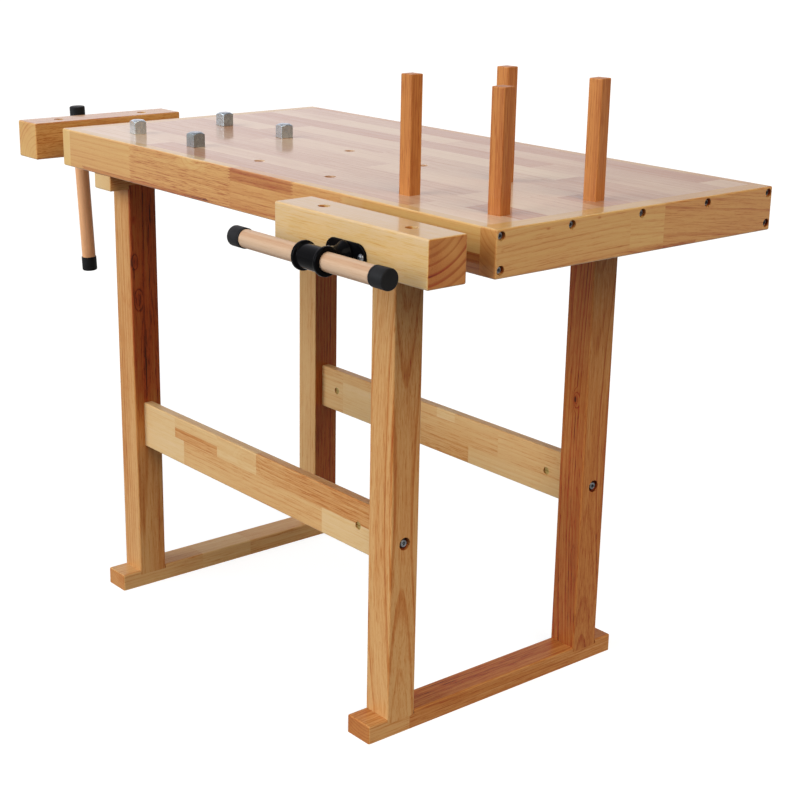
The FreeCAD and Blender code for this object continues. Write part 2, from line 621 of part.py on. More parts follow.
class Vise:
    """A bench vise. It is built in its own frame: x along the jaw, -y the way the jaw opens,
    the face of the bench at y = 0, z as in the bench; then it is turned about z and moved."""

    def __init__(self, name, gap, jaw_length, hole_spacing, board_thickness, place, turn,
                 handle_length, handle_shift, handle_turn):
        self.name = name
        self.jaw_length = jaw_length
        self.hole_spacing = hole_spacing
        self.board = board_thickness
        self.place = Vector(*place, 0)
        self.turn = turn
        self.handle_length = handle_length
        self.handle_shift = handle_shift
        self.handle_turn = handle_turn
        self.jaw_inner = -gap
        self.jaw_outer = -gap - JAW_THICKNESS
        self.plate_face = self.jaw_outer - PLATE_THICKNESS
        self.hub_foot = self.plate_face - HUB_GAP
        self.handle_y = self.jaw_outer - HUB_OFFSET
        self.body_end = board_thickness + NUT_BODY_LENGTH
        self.tie_front = self.body_end + MAX_OPENING - gap + TIE_BAR_STOP
        self.tie_back = self.tie_front + TIE_BAR_THICKNESS

    def to_bench(self, shape):
        shape.rotate(Vector(0, 0, 0), UP, self.turn)
        shape.translate(self.place)
        return shape

    def turned_hub(self, shape):
        """Turns a piece about the screw's axis to the handle's angle at rest."""
        shape.rotate(Vector(0, 0, SCREW_Z), Vector(0, 1, 0), self.handle_turn)
        return shape

    def rods_x(self):
        return (-ROD_SPREAD, ROD_SPREAD)

    # holes in the bench
    def board_holes(self):
        """Openings in the board that the vise is mounted behind."""
        wall = (-1, self.board + 1)
        holes = [rod(SCREW_RADIUS + SCREW_HOLE_CLEARANCE, 0, wall[0], wall[1])]
        for x in self.rods_x():
            holes.append(rod(ROD_RADIUS + RUNNING_FIT + BUSH_WALL, x, wall[0], wall[1]))
        return [self.to_bench(hole) for hole in holes]

    def body_screw_places(self):
        xs = around(0, NUT_BODY_WIDTH - 2 * BODY_SCREW_MARGIN)
        ys = (self.board + BODY_SCREW_MARGIN, self.body_end - BODY_SCREW_MARGIN)
        return [(x, y, PANEL_BOTTOM - NUT_PLATE_THICKNESS) for x in xs for y in ys]

    def body_screw_holes(self):
        length = NUT_PLATE_THICKNESS + BODY_SCREW_BITE
        return [
            self.to_bench(set_along(pilot(BODY_SCREW_RADIUS, length), place, (0, 0, -1)))
            for place in self.body_screw_places()
        ]

    # pieces that stay on the bench
    def bushes(self):
        pieces = []
        for x in self.rods_x():
            outer = rod(ROD_RADIUS + RUNNING_FIT + BUSH_WALL, x, 0, self.board)
            bore = rod(ROD_RADIUS + RUNNING_FIT, x, -1, self.board + 1)
            pieces.append(self.to_bench(outer.cut(bore)))
        return pieces

    def nut_body(self):
        """The casting under the panel: a plate, the screw's nut and a boss for each guide rod."""
        length = (self.board, self.body_end)
        plate_z = (PANEL_BOTTOM - NUT_PLATE_THICKNESS, PANEL_BOTTOM)
        body = block(around(0, NUT_BODY_WIDTH), length, plate_z)
        web_z = (SCREW_Z, PANEL_BOTTOM)
        rib_z = (SCREW_Z - ROD_BOSS_RADIUS / 2, PANEL_BOTTOM)
        parts = [
            rod(NUT_BOSS_RADIUS, 0, length[0], length[1]),
            block(around(0, NUT_WEB), length, web_z),
            block(around(0, 2 * ROD_SPREAD), (length[0], length[0] + NUT_WEB), rib_z),
        ]
        for x in self.rods_x():
            parts.append(rod(ROD_BOSS_RADIUS, x, length[0], length[1]))
            parts.append(block(around(x, NUT_WEB), length, web_z))
        bores = [rod(SCREW_RADIUS + RUNNING_FIT, 0, 0, length[1] + 1)]
        for x in self.rods_x():
            bores.append(rod(ROD_RADIUS + RUNNING_FIT, x, 0, length[1] + 1))
        for x, y, z in self.body_screw_places():
            bores.append(bar(BODY_SCREW_RADIUS + HOLE_CLEARANCE, (x, y, z - 1), (x, y, PANEL_BOTTOM + 1)))
        return self.to_bench(body.fuse(parts).removeSplitter().cut(bores))

    def body_screws(self):
        length = NUT_PLATE_THICKNESS + BODY_SCREW_BITE
        return [
            self.to_bench(set_along(
                lag_screw(BODY_SCREW_RADIUS, length, BODY_SCREW_FLATS, BODY_SCREW_HEAD), place, (0, 0, -1)))
            for place in self.body_screw_places()
        ]

    # pieces that slide with the jaw
    def rod_pin(self, x):
        """A pin through the jaw and a guide rod, from just inside the jaw's underside."""
        y = self.jaw_inner - ROD_SOCKET_DEPTH / 2
        return bar(ROD_PIN_RADIUS, (x, y, JAW_BOTTOM + ROD_PIN_RECESS), (x, y, ROD_PIN_TOP))

    def rod_pin_hole(self, x):
        y = self.jaw_inner - ROD_SOCKET_DEPTH / 2
        return bar(ROD_PIN_RADIUS + SNUG, (x, y, JAW_BOTTOM - 1), (x, y, ROD_PIN_TOP + SNUG))

    def plate_screw_places(self):
        spread = (-PLATE_SCREW_SPREAD, PLATE_SCREW_SPREAD)
        return [((x, self.plate_face, SCREW_Z), (0, -1, 0)) for x in spread]

    def jaw(self):
        """The wooden jaw, with two dog holes, the screw's hole and the guide rods' sockets."""
        span_z = (JAW_BOTTOM, BENCH_HEIGHT)
        shape = block(around(0, self.jaw_length), (self.jaw_outer, self.jaw_inner), span_z)
        shape = shape.makeFillet(EDGE_ROUND, shape.Edges)
        middle = (self.jaw_outer + self.jaw_inner) / 2
        holes = [
            rod(SCREW_RADIUS + SCREW_HOLE_CLEARANCE, 0, self.jaw_outer - 1, self.jaw_inner + 1),
            rod(COLLAR_RADIUS + COLLAR_RECESS_CLEARANCE, 0, self.collar_floor(), self.jaw_inner + 1),
        ]
        for x in around(0, self.hole_spacing):
            holes.append(bar(DOG_HOLE_RADIUS, (x, middle, span_z[0] - 1), (x, middle, span_z[1] + 1)))
        for x in self.rods_x():
            holes.append(rod(ROD_RADIUS + SNUG, x, self.jaw_inner - ROD_SOCKET_DEPTH, self.jaw_inner + 1))
            holes.append(self.rod_pin_hole(x))
        for point, way in self.plate_screw_places():
            holes.append(set_along(pilot(PLATE_SCREW_RADIUS, PAN_LENGTH), point, way))
        return self.to_bench(shape.cut(holes))

    def jaw_plate(self):
        """The obround plate on the jaw's outer face, round the screw."""
        end = PLATE_HEIGHT / 2
        flat = PLATE_LENGTH - PLATE_HEIGHT
        back, face = self.jaw_outer, self.plate_face
        plate = block(around(0, flat), (face, back), around(SCREW_Z, PLATE_HEIGHT))
        plate = plate.fuse([rod(end, x, back, face) for x in around(0, flat)])
        plate = plate.removeSplitter()
        plate = round_edges(plate, PLATE_ROUND, lambda p: near(p.y, face))
        holes = [rod(SCREW_RADIUS + SCREW_HOLE_CLEARANCE, 0, face - 1, back + 1)]
        for point, way in self.plate_screw_places():
            holes.append(set_along(pilot(PLATE_SCREW_RADIUS + HOLE_CLEARANCE, PAN_LENGTH), point, way))
        return self.to_bench(plate.cut(holes))

    def plate_screws(self):
        return [
            self.to_bench(set_along(pan_screw(PLATE_SCREW_RADIUS, PLATE_SCREW_HEAD_RADIUS), point, way))
            for point, way in self.plate_screw_places()
        ]

    def rods(self):
        """Guide rods, pinned in the jaw and shouldered for the tie bar."""
        pieces = []
        for x in self.rods_x():
            main = rod(ROD_RADIUS, x, self.jaw_inner - ROD_SOCKET_DEPTH, self.tie_front)
            thread_end = self.tie_back + TIE_NUT_HEIGHT + THREAD_PROUD
            thread = rod(ROD_THREAD_RADIUS, x, self.tie_front, thread_end)
            pieces.append(self.to_bench(main.fuse(thread).cut(self.rod_pin_hole(x))))
        return pieces

    def rod_pins(self):
        return [self.to_bench(self.rod_pin(x)) for x in self.rods_x()]

    def tie_bar(self):
        """The flat bar that joins the guide rods' inner ends and steadies the screw."""
        depth = (self.tie_front, self.tie_back)
        shape = block(around(0, 2 * (ROD_SPREAD + TIE_BAR_MARGIN)), depth, around(SCREW_Z, TIE_BAR_HEIGHT))
        shape = round_edges(shape, EDGE_ROUND, lambda p: near(p.y, sum(depth) / 2))
        holes = [rod(SCREW_RADIUS + TIE_BAR_CLEARANCE, 0, depth[0] - 1, depth[1] + 1)]
        for x in self.rods_x():
            holes.append(rod(ROD_THREAD_RADIUS + SNUG, x, depth[0] - 1, depth[1] + 1))
        return self.to_bench(shape.cut(holes))

    def tie_nuts(self):
        pieces = []
        for x in self.rods_x():
            nut = set_along(hexagon(TIE_NUT_FLATS, TIE_NUT_HEIGHT), (x, self.tie_back, SCREW_Z), (0, 1, 0))
            bore = rod(ROD_THREAD_RADIUS + SNUG, x, self.tie_front, self.tie_back + 2 * TIE_NUT_HEIGHT)
            pieces.append(self.to_bench(nut.cut(bore)))
        return pieces

    # pieces that turn with the screw
    def collar_floor(self):
        """The floor of the recess in the jaw's inner face that holds the screw's collar."""
        return self.jaw_inner - COLLAR_WIDTH - 2 * HUB_GAP

    def spigot_end(self):
        return self.handle_y + HANDLE_RADIUS + HANDLE_FIT + SPIGOT_END_WALL

    def across_neck(self, radius, reach):
        """A bar through the hub's neck and the screw's spigot, as far as reach on each side."""
        y = self.hub_foot - HUB_PIN_SET
        return bar(radius, (0, y, SCREW_Z - reach), (0, y, SCREW_Z + reach))

    def hub_pin_hole(self):
        return self.across_neck(HUB_PIN_RADIUS + SNUG, HUB_NECK_RADIUS + 1)

    def screw(self):
        """The vise screw, with the spigot that the hub is pinned to."""
        thread = rod(SCREW_RADIUS, 0, self.hub_foot, self.tie_back + SCREW_PROUD)
        spigot = rod(SCREW_SPIGOT_RADIUS, 0, self.spigot_end(), self.hub_foot)
        return self.to_bench(thread.fuse(spigot).cut(self.turned_hub(self.hub_pin_hole())))

    def hub(self):
        """The cast hub: a trumpet-shaped neck on the screw's axis and a flanged barrel that
        the handle slides in."""
        foot_y = self.hub_foot
        lip_y = foot_y - HUB_FOOT_LIP
        neck_y = lip_y - HUB_FLARE
        waist_radius = HUB_NECK_RADIUS + (HUB_FOOT_RADIUS - HUB_NECK_RADIUS) / 5
        waist_y = lip_y - HUB_FLARE / 2
        points = [Vector(0, y, SCREW_Z + r) for r, y in (
            (0, foot_y), (HUB_FOOT_RADIUS, foot_y), (HUB_FOOT_RADIUS, lip_y), (waist_radius, waist_y),
            (HUB_NECK_RADIUS, neck_y), (HUB_NECK_RADIUS, self.handle_y), (0, self.handle_y))]
        outline = [
            Part.makeLine(points[0], points[1]),
            Part.makeLine(points[1], points[2]),
            Part.Arc(points[2], points[3], points[4]).toShape(),
            Part.makeLine(points[4], points[5]),
            Part.makeLine(points[5], points[6]),
            Part.makeLine(points[6], points[0]),
        ]
        neck = Part.Face(Part.Wire(outline)).revolve(Vector(0, 0, SCREW_Z), Vector(0, 1, 0), 360)
        centre = Vector(0, self.handle_y, SCREW_Z)
        along = Vector(1, 0, 0)
        end = along * HUB_HALF_LENGTH
        barrel = bar(HUB_BARREL_RADIUS, centre - end, centre + end)
        shape = neck.fuse(barrel)
        for start in (-HUB_HALF_LENGTH, HUB_HALF_LENGTH - HUB_FLANGE_WIDTH):
            flange = Part.makeCylinder(HUB_FLANGE_RADIUS, HUB_FLANGE_WIDTH, centre + along * start, along)
            flange = flange.makeFillet(HUB_FLANGE_ROUND, flange.Edges)
            shape = shape.fuse(flange)
        reach = HUB_HALF_LENGTH + 1
        handle_bore = bar(HANDLE_RADIUS + HANDLE_FIT, centre - along * reach, centre + along * reach)
        spigot_bore = rod(SCREW_SPIGOT_RADIUS + SNUG, 0, self.spigot_end() - SNUG, foot_y + 1)
        shape = shape.cut([handle_bore, spigot_bore, self.hub_pin_hole()])
        return self.to_bench(self.turned_hub(shape))

    def hub_pin(self):
        return self.to_bench(self.turned_hub(self.across_neck(HUB_PIN_RADIUS, HUB_NECK_RADIUS)))

    def collar(self):
        """The ring that keeps the screw from pulling out of the jaw."""
        back = self.collar_floor() + HUB_GAP
        ring = rod(COLLAR_RADIUS, 0, back, back + COLLAR_WIDTH)
        bore = rod(SCREW_RADIUS + SNUG, 0, back - 1, back + COLLAR_WIDTH + 1)
        return self.to_bench(ring.cut(bore))

    # pieces that slide through the hub
    def handle(self):
        half = self.handle_length / 2 - CAP_END
        shape = bar(HANDLE_RADIUS, (self.handle_shift - half, self.handle_y, SCREW_Z),
                    (self.handle_shift + half, self.handle_y, SCREW_Z))
        return self.to_bench(self.turned_hub(shape))

    def handle_caps(self):
        pieces = []
        for side in (-1, 1):
            end_x = self.handle_shift + side * self.handle_length / 2
            end, floor, mouth = [
                (end_x - side * depth, self.handle_y, SCREW_Z) for depth in (0, CAP_END, CAP_LENGTH)
            ]
            outer = round_edges(bar(CAP_RADIUS, end, mouth), CAP_ROUND, lambda p: near(p.x, end_x))
            inner = bar(HANDLE_RADIUS, floor, mouth)
            pieces.append(self.to_bench(self.turned_hub(outer.cut(inner))))
        return pieces


FRONT_VISE = Vise(
    name="front",
    gap=FRONT_VISE_GAP,
    jaw_length=FRONT_JAW_LENGTH,
    hole_spacing=DOG_PITCH,
    board_thickness=APRON_THICKNESS,
    place=(RIGHT - DOG_SETBACK - DOG_PITCH / 2, FRONT),
    turn=0,
    handle_length=FRONT_HANDLE_LENGTH,
    handle_shift=FRONT_HANDLE_SHIFT,
    handle_turn=0,
)
END_VISE = Vise(
    name="end",
    gap=END_VISE_GAP,
    jaw_length=END_JAW_LENGTH,
    hole_spacing=END_JAW_HOLE_SPACING,
    board_thickness=LEFT_END_THICKNESS,
    place=(LEFT, FRONT + END_VISE_FROM_FRONT),
    turn=-90,
    handle_length=END_HANDLE_LENGTH,
    handle_shift=END_HANDLE_LENGTH / 2 - CAP_LENGTH - HUB_HALF_LENGTH - CAP_SEAT,
    handle_turn=90 + END_HANDLE_TILT,
)
VISES = (FRONT_VISE, END_VISE)


# ---- dogs and pegs ------------------------------------------------------------------------------
def shank():
    """The round shank below a dog or a peg, from the working surface down."""
    low = -SHANK_LENGTH
    body = Part.makeCylinder(SHANK_RADIUS, SHANK_LENGTH, Vector(0, 0, low))
    return body.makeChamfer(SHANK_CHAMFER, [edge for edge in body.Edges if near(edge.BoundBox.ZMax, low)])


def metal_dog():
    """A bench dog with a square head whose top corners are turned off to a shallow cone."""
    head = block(around(0, DOG_HEAD_SIDE), around(0, DOG_HEAD_SIDE), (0, DOG_HEAD_HEIGHT))
    cone_foot = DOG_HEAD_FLAT_RADIUS + DOG_HEAD_HEIGHT / math.tan(math.radians(DOG_HEAD_SLOPE))
    cone = Part.makeCone(cone_foot, DOG_HEAD_FLAT_RADIUS, DOG_HEAD_HEIGHT)
    return head.common(cone).fuse(shank())


def wooden_peg():
    """A tall square peg on a round tenon, its upright and top edges eased."""
    post = block(around(0, PEG_SIDE), around(0, PEG_SIDE), (0, PEG_HEIGHT))
    post = round_edges(post, PEG_EDGE, lambda p: p.z > 0)
    return post.fuse(shank())


def in_hole(shape, column, row, turn):
    """Stands a dog or a peg in a hole of the top, turned about its own axis."""
    x = RIGHT - DOG_SETBACK - column * DOG_PITCH
    y = FRONT + DOG_SETBACK + row * DOG_PITCH
    shape.rotate(Vector(0, 0, 0), UP, turn)
    shape.translate(Vector(x, y, BENCH_HEIGHT))
    return shape


# ---- writing the pieces -------------------------------------------------------------------------
def box_middle():
    """The middle of the whole object's box, seen from above, in the construction frame."""
    past_jaw = JAW_THICKNESS + HUB_OFFSET + max(HUB_FLANGE_RADIUS, CAP_RADIUS)
    low_x = LEFT - END_VISE_GAP - past_jaw
    low_y = FRONT - FRONT_VISE_GAP - past_jaw
    return Vector((low_x + RIGHT) / 2, (low_y + BACK) / 2, 0)


def save(name, shapes):
    """Moves a piece, or a group of like pieces, to the object's origin and writes its file."""
    group = shapes if isinstance(shapes, list) else [shapes]
    moved = [shape.translated(-box_middle()) for shape in group]
    whole = moved[0] if len(moved) == 1 else Part.makeCompound(moved)
    whole.exportStep(os.path.join("parts", name + ".step"))


def save_top():
    front_apron = apron(-1).cut(FRONT_VISE.board_holes())
    left_board = end_board(LEFT_BOARD).cut(END_VISE.board_holes())
    save("top_panel", top_panel())
    save("front_apron", front_apron)
    save("back_apron", apron(1))
    save("right_end_board", end_board(RIGHT_BOARD))
    save("left_end_board", left_board)
    save("end_board_bolts", board_bolts())
    save("end_board_nuts", board_nuts())


def save_frames():
    for side, frame_x, outward in (("left", LEFT_FRAME_X, -1), ("right", RIGHT_FRAME_X, 1)):
        save(side + "_foot", foot(frame_x))
        save(side + "_bearer", bearer(frame_x))
        save(side + "_front_leg", leg(frame_x, FRONT_LEG_Y, outward))
        save(side + "_back_leg", leg(frame_x, BACK_LEG_Y, outward))
    save("front_stretcher", stretcher(FRONT_LEG_Y))
    save("back_stretcher", stretcher(BACK_LEG_Y))
    save("stretcher_bolts", leg_bolts())
    save("stretcher_nuts", leg_nuts())
    save("leg_screws", leg_screws())
    save("top_brackets", brackets())
    save("bracket_screws", bracket_screws())


def save_vises():
    save("guide_bushes", [bush for vise in VISES for bush in vise.bushes()])
    save("nut_body_screws", [screw for vise in VISES for screw in vise.body_screws()])
    for vise in VISES:
        save(vise.name + "_nut_body", vise.nut_body())
        save(vise.name + "_jaw", vise.jaw())
        save(vise.name + "_jaw_plate", vise.jaw_plate())
        save(vise.name + "_plate_screws", vise.plate_screws())
        save(vise.name + "_guide_rods", vise.rods())
        save(vise.name + "_rod_pins", vise.rod_pins())
        save(vise.name + "_tie_bar", vise.tie_bar())
        save(vise.name + "_tie_nuts", vise.tie_nuts())
        save(vise.name + "_screw", vise.screw())
        save(vise.name + "_hub", vise.hub())
        save(vise.name + "_hub_pin", vise.hub_pin())
        save(vise.name + "_screw_collar", vise.collar())
        save(vise.name + "_handle", vise.handle())
        save(vise.name + "_handle_caps", vise.handle_caps())


def save_dogs_and_pegs():
    left_column = DOG_COLUMNS - 1
    save("dog_front_left", in_hole(metal_dog(), left_column, 0, -7))
    save("dog_front_right", in_hole(metal_dog(), left_column - 1, 0, 0))
    save("dog_back_left", in_hole(metal_dog(), left_column, 1, 5))
    save("dog_back_right", in_hole(metal_dog(), left_column - 1, 1, -7))
    save("peg_front_left", in_hole(wooden_peg(), 1, 0, 3))
    save("peg_front_right", in_hole(wooden_peg(), 0, 0, 8))
    save("peg_back_left", in_hole(wooden_peg(), 1, 1, 6))
    save("peg_back_right", in_hole(wooden_peg(), 0, 1, 9))


os.makedirs("parts", exist_ok=True)
save_top()
save_frames()
save_vises()
save_dogs_and_pegs()
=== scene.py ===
"""Woodworking bench with a front vise and an end vise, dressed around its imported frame.

Laid out as an add-on: property groups hold the sizes and colours, one operator makes each group of
pieces, and main() calls the operators in order.
"""

import json
import math
from typing import NamedTuple

import bmesh
import bpy
from mathutils import Euler, Matrix, Vector


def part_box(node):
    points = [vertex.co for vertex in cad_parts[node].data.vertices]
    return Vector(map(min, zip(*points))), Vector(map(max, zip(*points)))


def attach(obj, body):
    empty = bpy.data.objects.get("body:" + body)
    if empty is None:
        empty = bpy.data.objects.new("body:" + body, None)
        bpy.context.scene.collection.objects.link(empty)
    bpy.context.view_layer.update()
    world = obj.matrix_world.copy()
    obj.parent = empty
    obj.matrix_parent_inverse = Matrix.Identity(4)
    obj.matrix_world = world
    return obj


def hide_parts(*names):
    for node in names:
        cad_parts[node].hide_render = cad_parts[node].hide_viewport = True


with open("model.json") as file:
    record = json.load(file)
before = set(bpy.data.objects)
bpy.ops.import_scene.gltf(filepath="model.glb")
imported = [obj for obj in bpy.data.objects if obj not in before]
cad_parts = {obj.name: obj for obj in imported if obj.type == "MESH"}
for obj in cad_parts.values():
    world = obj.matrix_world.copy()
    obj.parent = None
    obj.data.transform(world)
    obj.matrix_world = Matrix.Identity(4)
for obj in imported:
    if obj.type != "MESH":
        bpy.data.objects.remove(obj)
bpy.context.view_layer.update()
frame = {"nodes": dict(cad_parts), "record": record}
cad_slots = {name: piece.material_slots[0].material.name for name, piece in frame["nodes"].items()}

bl_info = {
    "name": "Woodworking Bench with Vises",
    "version": (1, 0, 0),
    "blender": (4, 5, 0),
    "location": "3D View > Sidebar > Bench",
    "description": "Dresses a hardwood bench, its two vises, dogs and pegs with finishes and fittings",
    "category": "Object",
}

MM = 0.001
FINGER_PITCH = 5.0 * MM
ROUND_SIDES = 32
TURN_STEPS = 14          # steps in one turn of a thread
WELD = 0.001 * MM
SHARP_ANGLE = 38.0       # degrees between faces that meet in a sharp edge, at least
ROOT_3 = math.sqrt(3.0)
QUARTER_TURN = (0.0, 0.0, math.pi / 2)
BLOCK_EXCESS = 1.2       # height of the block that a bolt's head is cut from, to the head's height
SPIGOT_OVERLAP = 0.5 * MM
FEWEST_BOLT_POINTS = 170  # a washer's mesh has fewer
END_SHARE = 0.47         # how far from its middle a fastener's end starts, to its length
CAP_FLOOR = 3.2 * MM     # thickness of a handle cap's end

# What the wooden pieces share.
SEED_STEP = 1.7          # how far a piece's seed moves it through the wood
BLOCK_STEP = 0.31        # how far the next glued block is moved along it, and
BLOCK_SIDESTEP = 0.03    # to the side, in a direction that turns by
BLOCK_TURN = 2.4         # this angle from block to block, in radians
STAVE_STEPS = (0.9, 0.12, 0.12)     # how far two staves are moved apart, at most
KNOT_STRETCH = 0.42      # width of a knot to its length along the grain
KNOT_SWELL = 1.3         # how far a knot pushes the rings out, to its radius
CLOUD_SCALE = (1.7, 15.0, 15.0)     # clouds in a metre along the grain and across it
CLOUD_STRENGTH = 0.35    # change of tone from cloud to cloud
PORE_STRENGTH = 0.08     # change of tone in a pore
END_CALM = 0.75          # share of the streaks and dashes that end grain loses
END_DRYNESS = 0.6        # share of the lacquer that end grain drinks
BORE_SHADE_AND_BARE_WOOD = 0.22     # painted shade inside a board's holes, partly their darker bare wood: change of tone
SEAM_DARKNESS = 0.12     # change of tone in the seams between staves
SEAM_GAP = 0.5 * MM      # half the width of a seam between two rows of staves
BUTT_GAP = 0.6 * MM      # half the width of a seam at a stave's end
SHADED_SIDE_EDGE = 1.5 * MM    # how softly the painted shade on one side of a piece starts

HARDWARE_FINISHES = {}
SOCKET_TYPES = {float: "NodeSocketFloat", int: "NodeSocketInt", tuple: "NodeSocketVector"}

# Turns that lay the grain of a piece along X, by the axis that it follows.
GRAIN_TURNS = {
    "x": (0.0, 0.0, 0.0),
    "y": (0.0, 0.0, -math.pi / 2),
    "z": (0.0, math.pi / 2, 0.0),
}


# ---- sizes and colours --------------------------------------------------------------------------
def colour(name, description, default):
    return bpy.props.FloatVectorProperty(
        name=name, description=description, default=default, size=3, min=0.0, max=1.0, subtype="COLOR"
    )


def length(name, description, default):
    return bpy.props.FloatProperty(
        name=name, description=description, default=default, min=0.0, unit="LENGTH", precision=4
    )


def share(name, description, default):
    return bpy.props.FloatProperty(
        name=name, description=description, default=default, min=0.0, max=1.0, subtype="FACTOR"
    )


class BenchWoodLooks(bpy.types.PropertyGroup):
    """Colours and gloss of the wooden pieces."""

    sapwood: colour("Sapwood", "Palest wood of the glued boards", (0.70, 0.49, 0.28))
    straw: colour("Straw wood", "Light golden wood", (0.68, 0.43, 0.155))
    tan: colour("Tan wood", "Middle tone of the boards", (0.61, 0.31, 0.095))
    rosy_straw: colour("Rosy straw wood", "Light wood of the trestles", (0.67, 0.44, 0.205))
    rosy_tan: colour("Rosy tan wood", "Middle tone of the trestles", (0.61, 0.33, 0.125))
    cream: colour("Cream wood", "Palest staves of the top", (0.78, 0.58, 0.38))
    cream_pink: colour("Pink cream wood", "Usual staves of the top", (0.68, 0.455, 0.29))
    pink_brown: colour("Pink brown wood", "Darker staves of the top", (0.52, 0.27, 0.155))
    red_tan: colour("Reddish wood", "Reddish staves and growth rings", (0.50, 0.195, 0.05))
    brown: colour("Brown wood", "End grain and darker figure", (0.38, 0.115, 0.025))
    heartwood: colour("Heartwood", "Dark red-brown inner wood", (0.36, 0.055, 0.012))
    knot: colour("Knot", "Lines round knots", (0.07, 0.014, 0.005))
    beech_light: colour("Light beech", "Handle of the front vise", (0.62, 0.42, 0.28))
    # Painted light: the end handle's beech is warmer, its own hue, and made brighter than the front
    # handle's to light its shaded side.
    beech_warm_painted_light: colour("Warm beech", "Handle of the end vise", (0.97, 0.50, 0.25))
    beech_deep: colour("Deep beech", "Flecks and lines of the handles", (0.40, 0.17, 0.07))
    peg_light: colour("Light peg wood", "Pale lines of the pegs", (0.56, 0.225, 0.062))
    peg_deep: colour("Deep peg wood", "Dark lines of the pegs", (0.37, 0.105, 0.024))
    top_gloss: share("Top lacquer", "Weight of the clear coat on the working surface", 0.62)
    frame_gloss: share("Frame lacquer", "Weight of the clear coat on the frames", 0.08)
    coat_roughness: share("Lacquer roughness", "Roughness of the clear coat", 0.09)


class BenchMetalLooks(bpy.types.PropertyGroup):
    """Colours of the metal, rubber and plastic pieces."""

    zinc: colour("Zinc", "Plated bolts and screws", (0.31, 0.33, 0.355))
    dog_zinc: colour("Dog zinc", "Plated dogs", (0.54, 0.62, 0.67))
    dog_stain: colour("Dog stain", "Duller patches of the dogs", (0.40, 0.44, 0.46))
    zinc_stain: colour("Zinc stain", "Duller patches of the plating", (0.16, 0.165, 0.175))
    steel: colour("Bright steel", "Guide rods and vise screws", (0.55, 0.55, 0.54))
    brass: colour("Brass", "Barrel nuts of the stretchers", (0.62, 0.45, 0.16))
    enamel: colour("Black enamel", "Painted castings of the vises", (0.0025, 0.0025, 0.003))
    rubber: colour("Black rubber", "Caps of the handles", (0.010, 0.010, 0.011))
    plastic: colour("Grey plastic", "Bushes of the guide rods", (0.20, 0.20, 0.21))


class BenchHardwareSizes(bpy.types.PropertyGroup):
    """Sizes of the fittings that are made here."""

    screw_radius: length("Vise screw radius", "Over the thread", 10.0 * MM)
    screw_pitch: length("Vise screw pitch", "Advance of a vise screw in one turn", 6.0 * MM)
    screw_depth: length("Vise thread depth", "Height of the vise screw's thread", 1.8 * MM)
    spigot_radius: length("Spigot radius", "End of the vise screw inside its hub", 8.0 * MM)
    spigot_length: length("Spigot length", "End of the vise screw inside its hub", 35.9 * MM)
    casting_detail: length("Casting detail", "Size of the cells that a casting is smoothed in", 0.8 * MM)
    dog_detail: length("Dog detail", "Size of the cells that a dog is smoothed in", 0.6 * MM)
    cap_radius: length("Cap radius", "Outside of the rubber handle caps", 15.5 * MM)
    cap_bore: length("Cap bore", "Inside radius of the rubber handle caps", 14.02 * MM)
    cap_length: length("Cap length", "Rubber handle caps", 29.0 * MM)


class BenchStudio(bpy.types.PropertyGroup):
    """Camera, lamps and floor."""

    floor_size: length("Floor size", "Side of the square floor", 40.0)
    floor_colour: colour("Floor colour", "Pale floor under the bench", (0.25, 0.25, 0.25))
    floor_glow: share("Floor glow", "How much of the floor's white is its own", 0.88)
    floor_mirrored: share("Reflected floor", "Level of the floor in reflections", 0.5)
    room_light: share("Room light", "Level of the even light from all sides", 0.20)
    key_tint: colour("Main lamp's colour", "Colour of the soft lamp in front", (0.90, 0.96, 1.0))
    side_tint: colour("Side lamp's colour", "Colour of the soft lamp on the right", (1.0, 0.89, 0.74))
    gloss_tint: colour("Reflected room", "Colour of the room in reflections", (0.95, 0.92, 0.98))
    gloss_left: share("Reflected left side", "Level of the reflected room on the bench's left", 0.88)
    gloss_middle: share("Reflected middle", "Level of the reflected room behind and before the bench", 0.50)
    gloss_right: share("Reflected right side", "Level of the reflected room on the bench's right", 0.20)
    key_light: bpy.props.FloatProperty(
        name="Main lamp", description="Level of the soft lamp in front", default=2.75, min=0.0
    )
    side_light: bpy.props.FloatProperty(
        name="Side lamp", description="Level of the soft lamp high on the right", default=1.85, min=0.0
    )


# ---- nodes --------------------------------------------------------------------------------------
def is_vector(value):
    if isinstance(value, Wire):
        return value.socket.type == "VECTOR"
    return isinstance(value, (tuple, list, Vector))


class Wire:
    """One output of a node. Sums with it add Math nodes to its tree, and sums in which a vector takes
    part add Vector Math nodes. A wire comes first in a sum, before any vector that isn't one."""

    def __init__(self, tree, socket):
        self.tree = tree
        self.socket = socket

    def math(self, operation, *others):
        """The result of one Math or Vector Math node."""
        values = dict(enumerate((self, *others)))
        if any(is_vector(value) for value in values.values()):
            output = "Value" if operation in ("LENGTH", "DOT_PRODUCT") else "Vector"
            return put(self.tree, "ShaderNodeVectorMath", values, operation=operation)[output]
        return put(self.tree, "ShaderNodeMath", values, operation=operation)["Value"]

    def part(self, axis):
        """What a vector measures along one axis."""
        return put(self.tree, "ShaderNodeSeparateXYZ", {"Vector": self})[axis]

    def __add__(self, other):
        return self.math("ADD", other)

    def __sub__(self, other):
        return self.math("SUBTRACT", other)

    def __rsub__(self, other):
        return -self + other

    def __mul__(self, other):
        if is_vector(self) == is_vector(other):
            return self.math("MULTIPLY", other)
        whole, factor = (self, other) if is_vector(self) else (other, self)
        return put(self.tree, "ShaderNodeVectorMath", {0: whole, "Scale": factor}, operation="SCALE")[0]

    def __truediv__(self, other):
        return self.math("DIVIDE", other)

    def __neg__(self):
        return self * -1.0


class Wires:
    """All outputs of a node, by name or number."""

    def __init__(self, tree, node):
        self.tree = tree
        self.node = node

    def __getitem__(self, key):
        return Wire(self.tree, self.node.outputs[key])


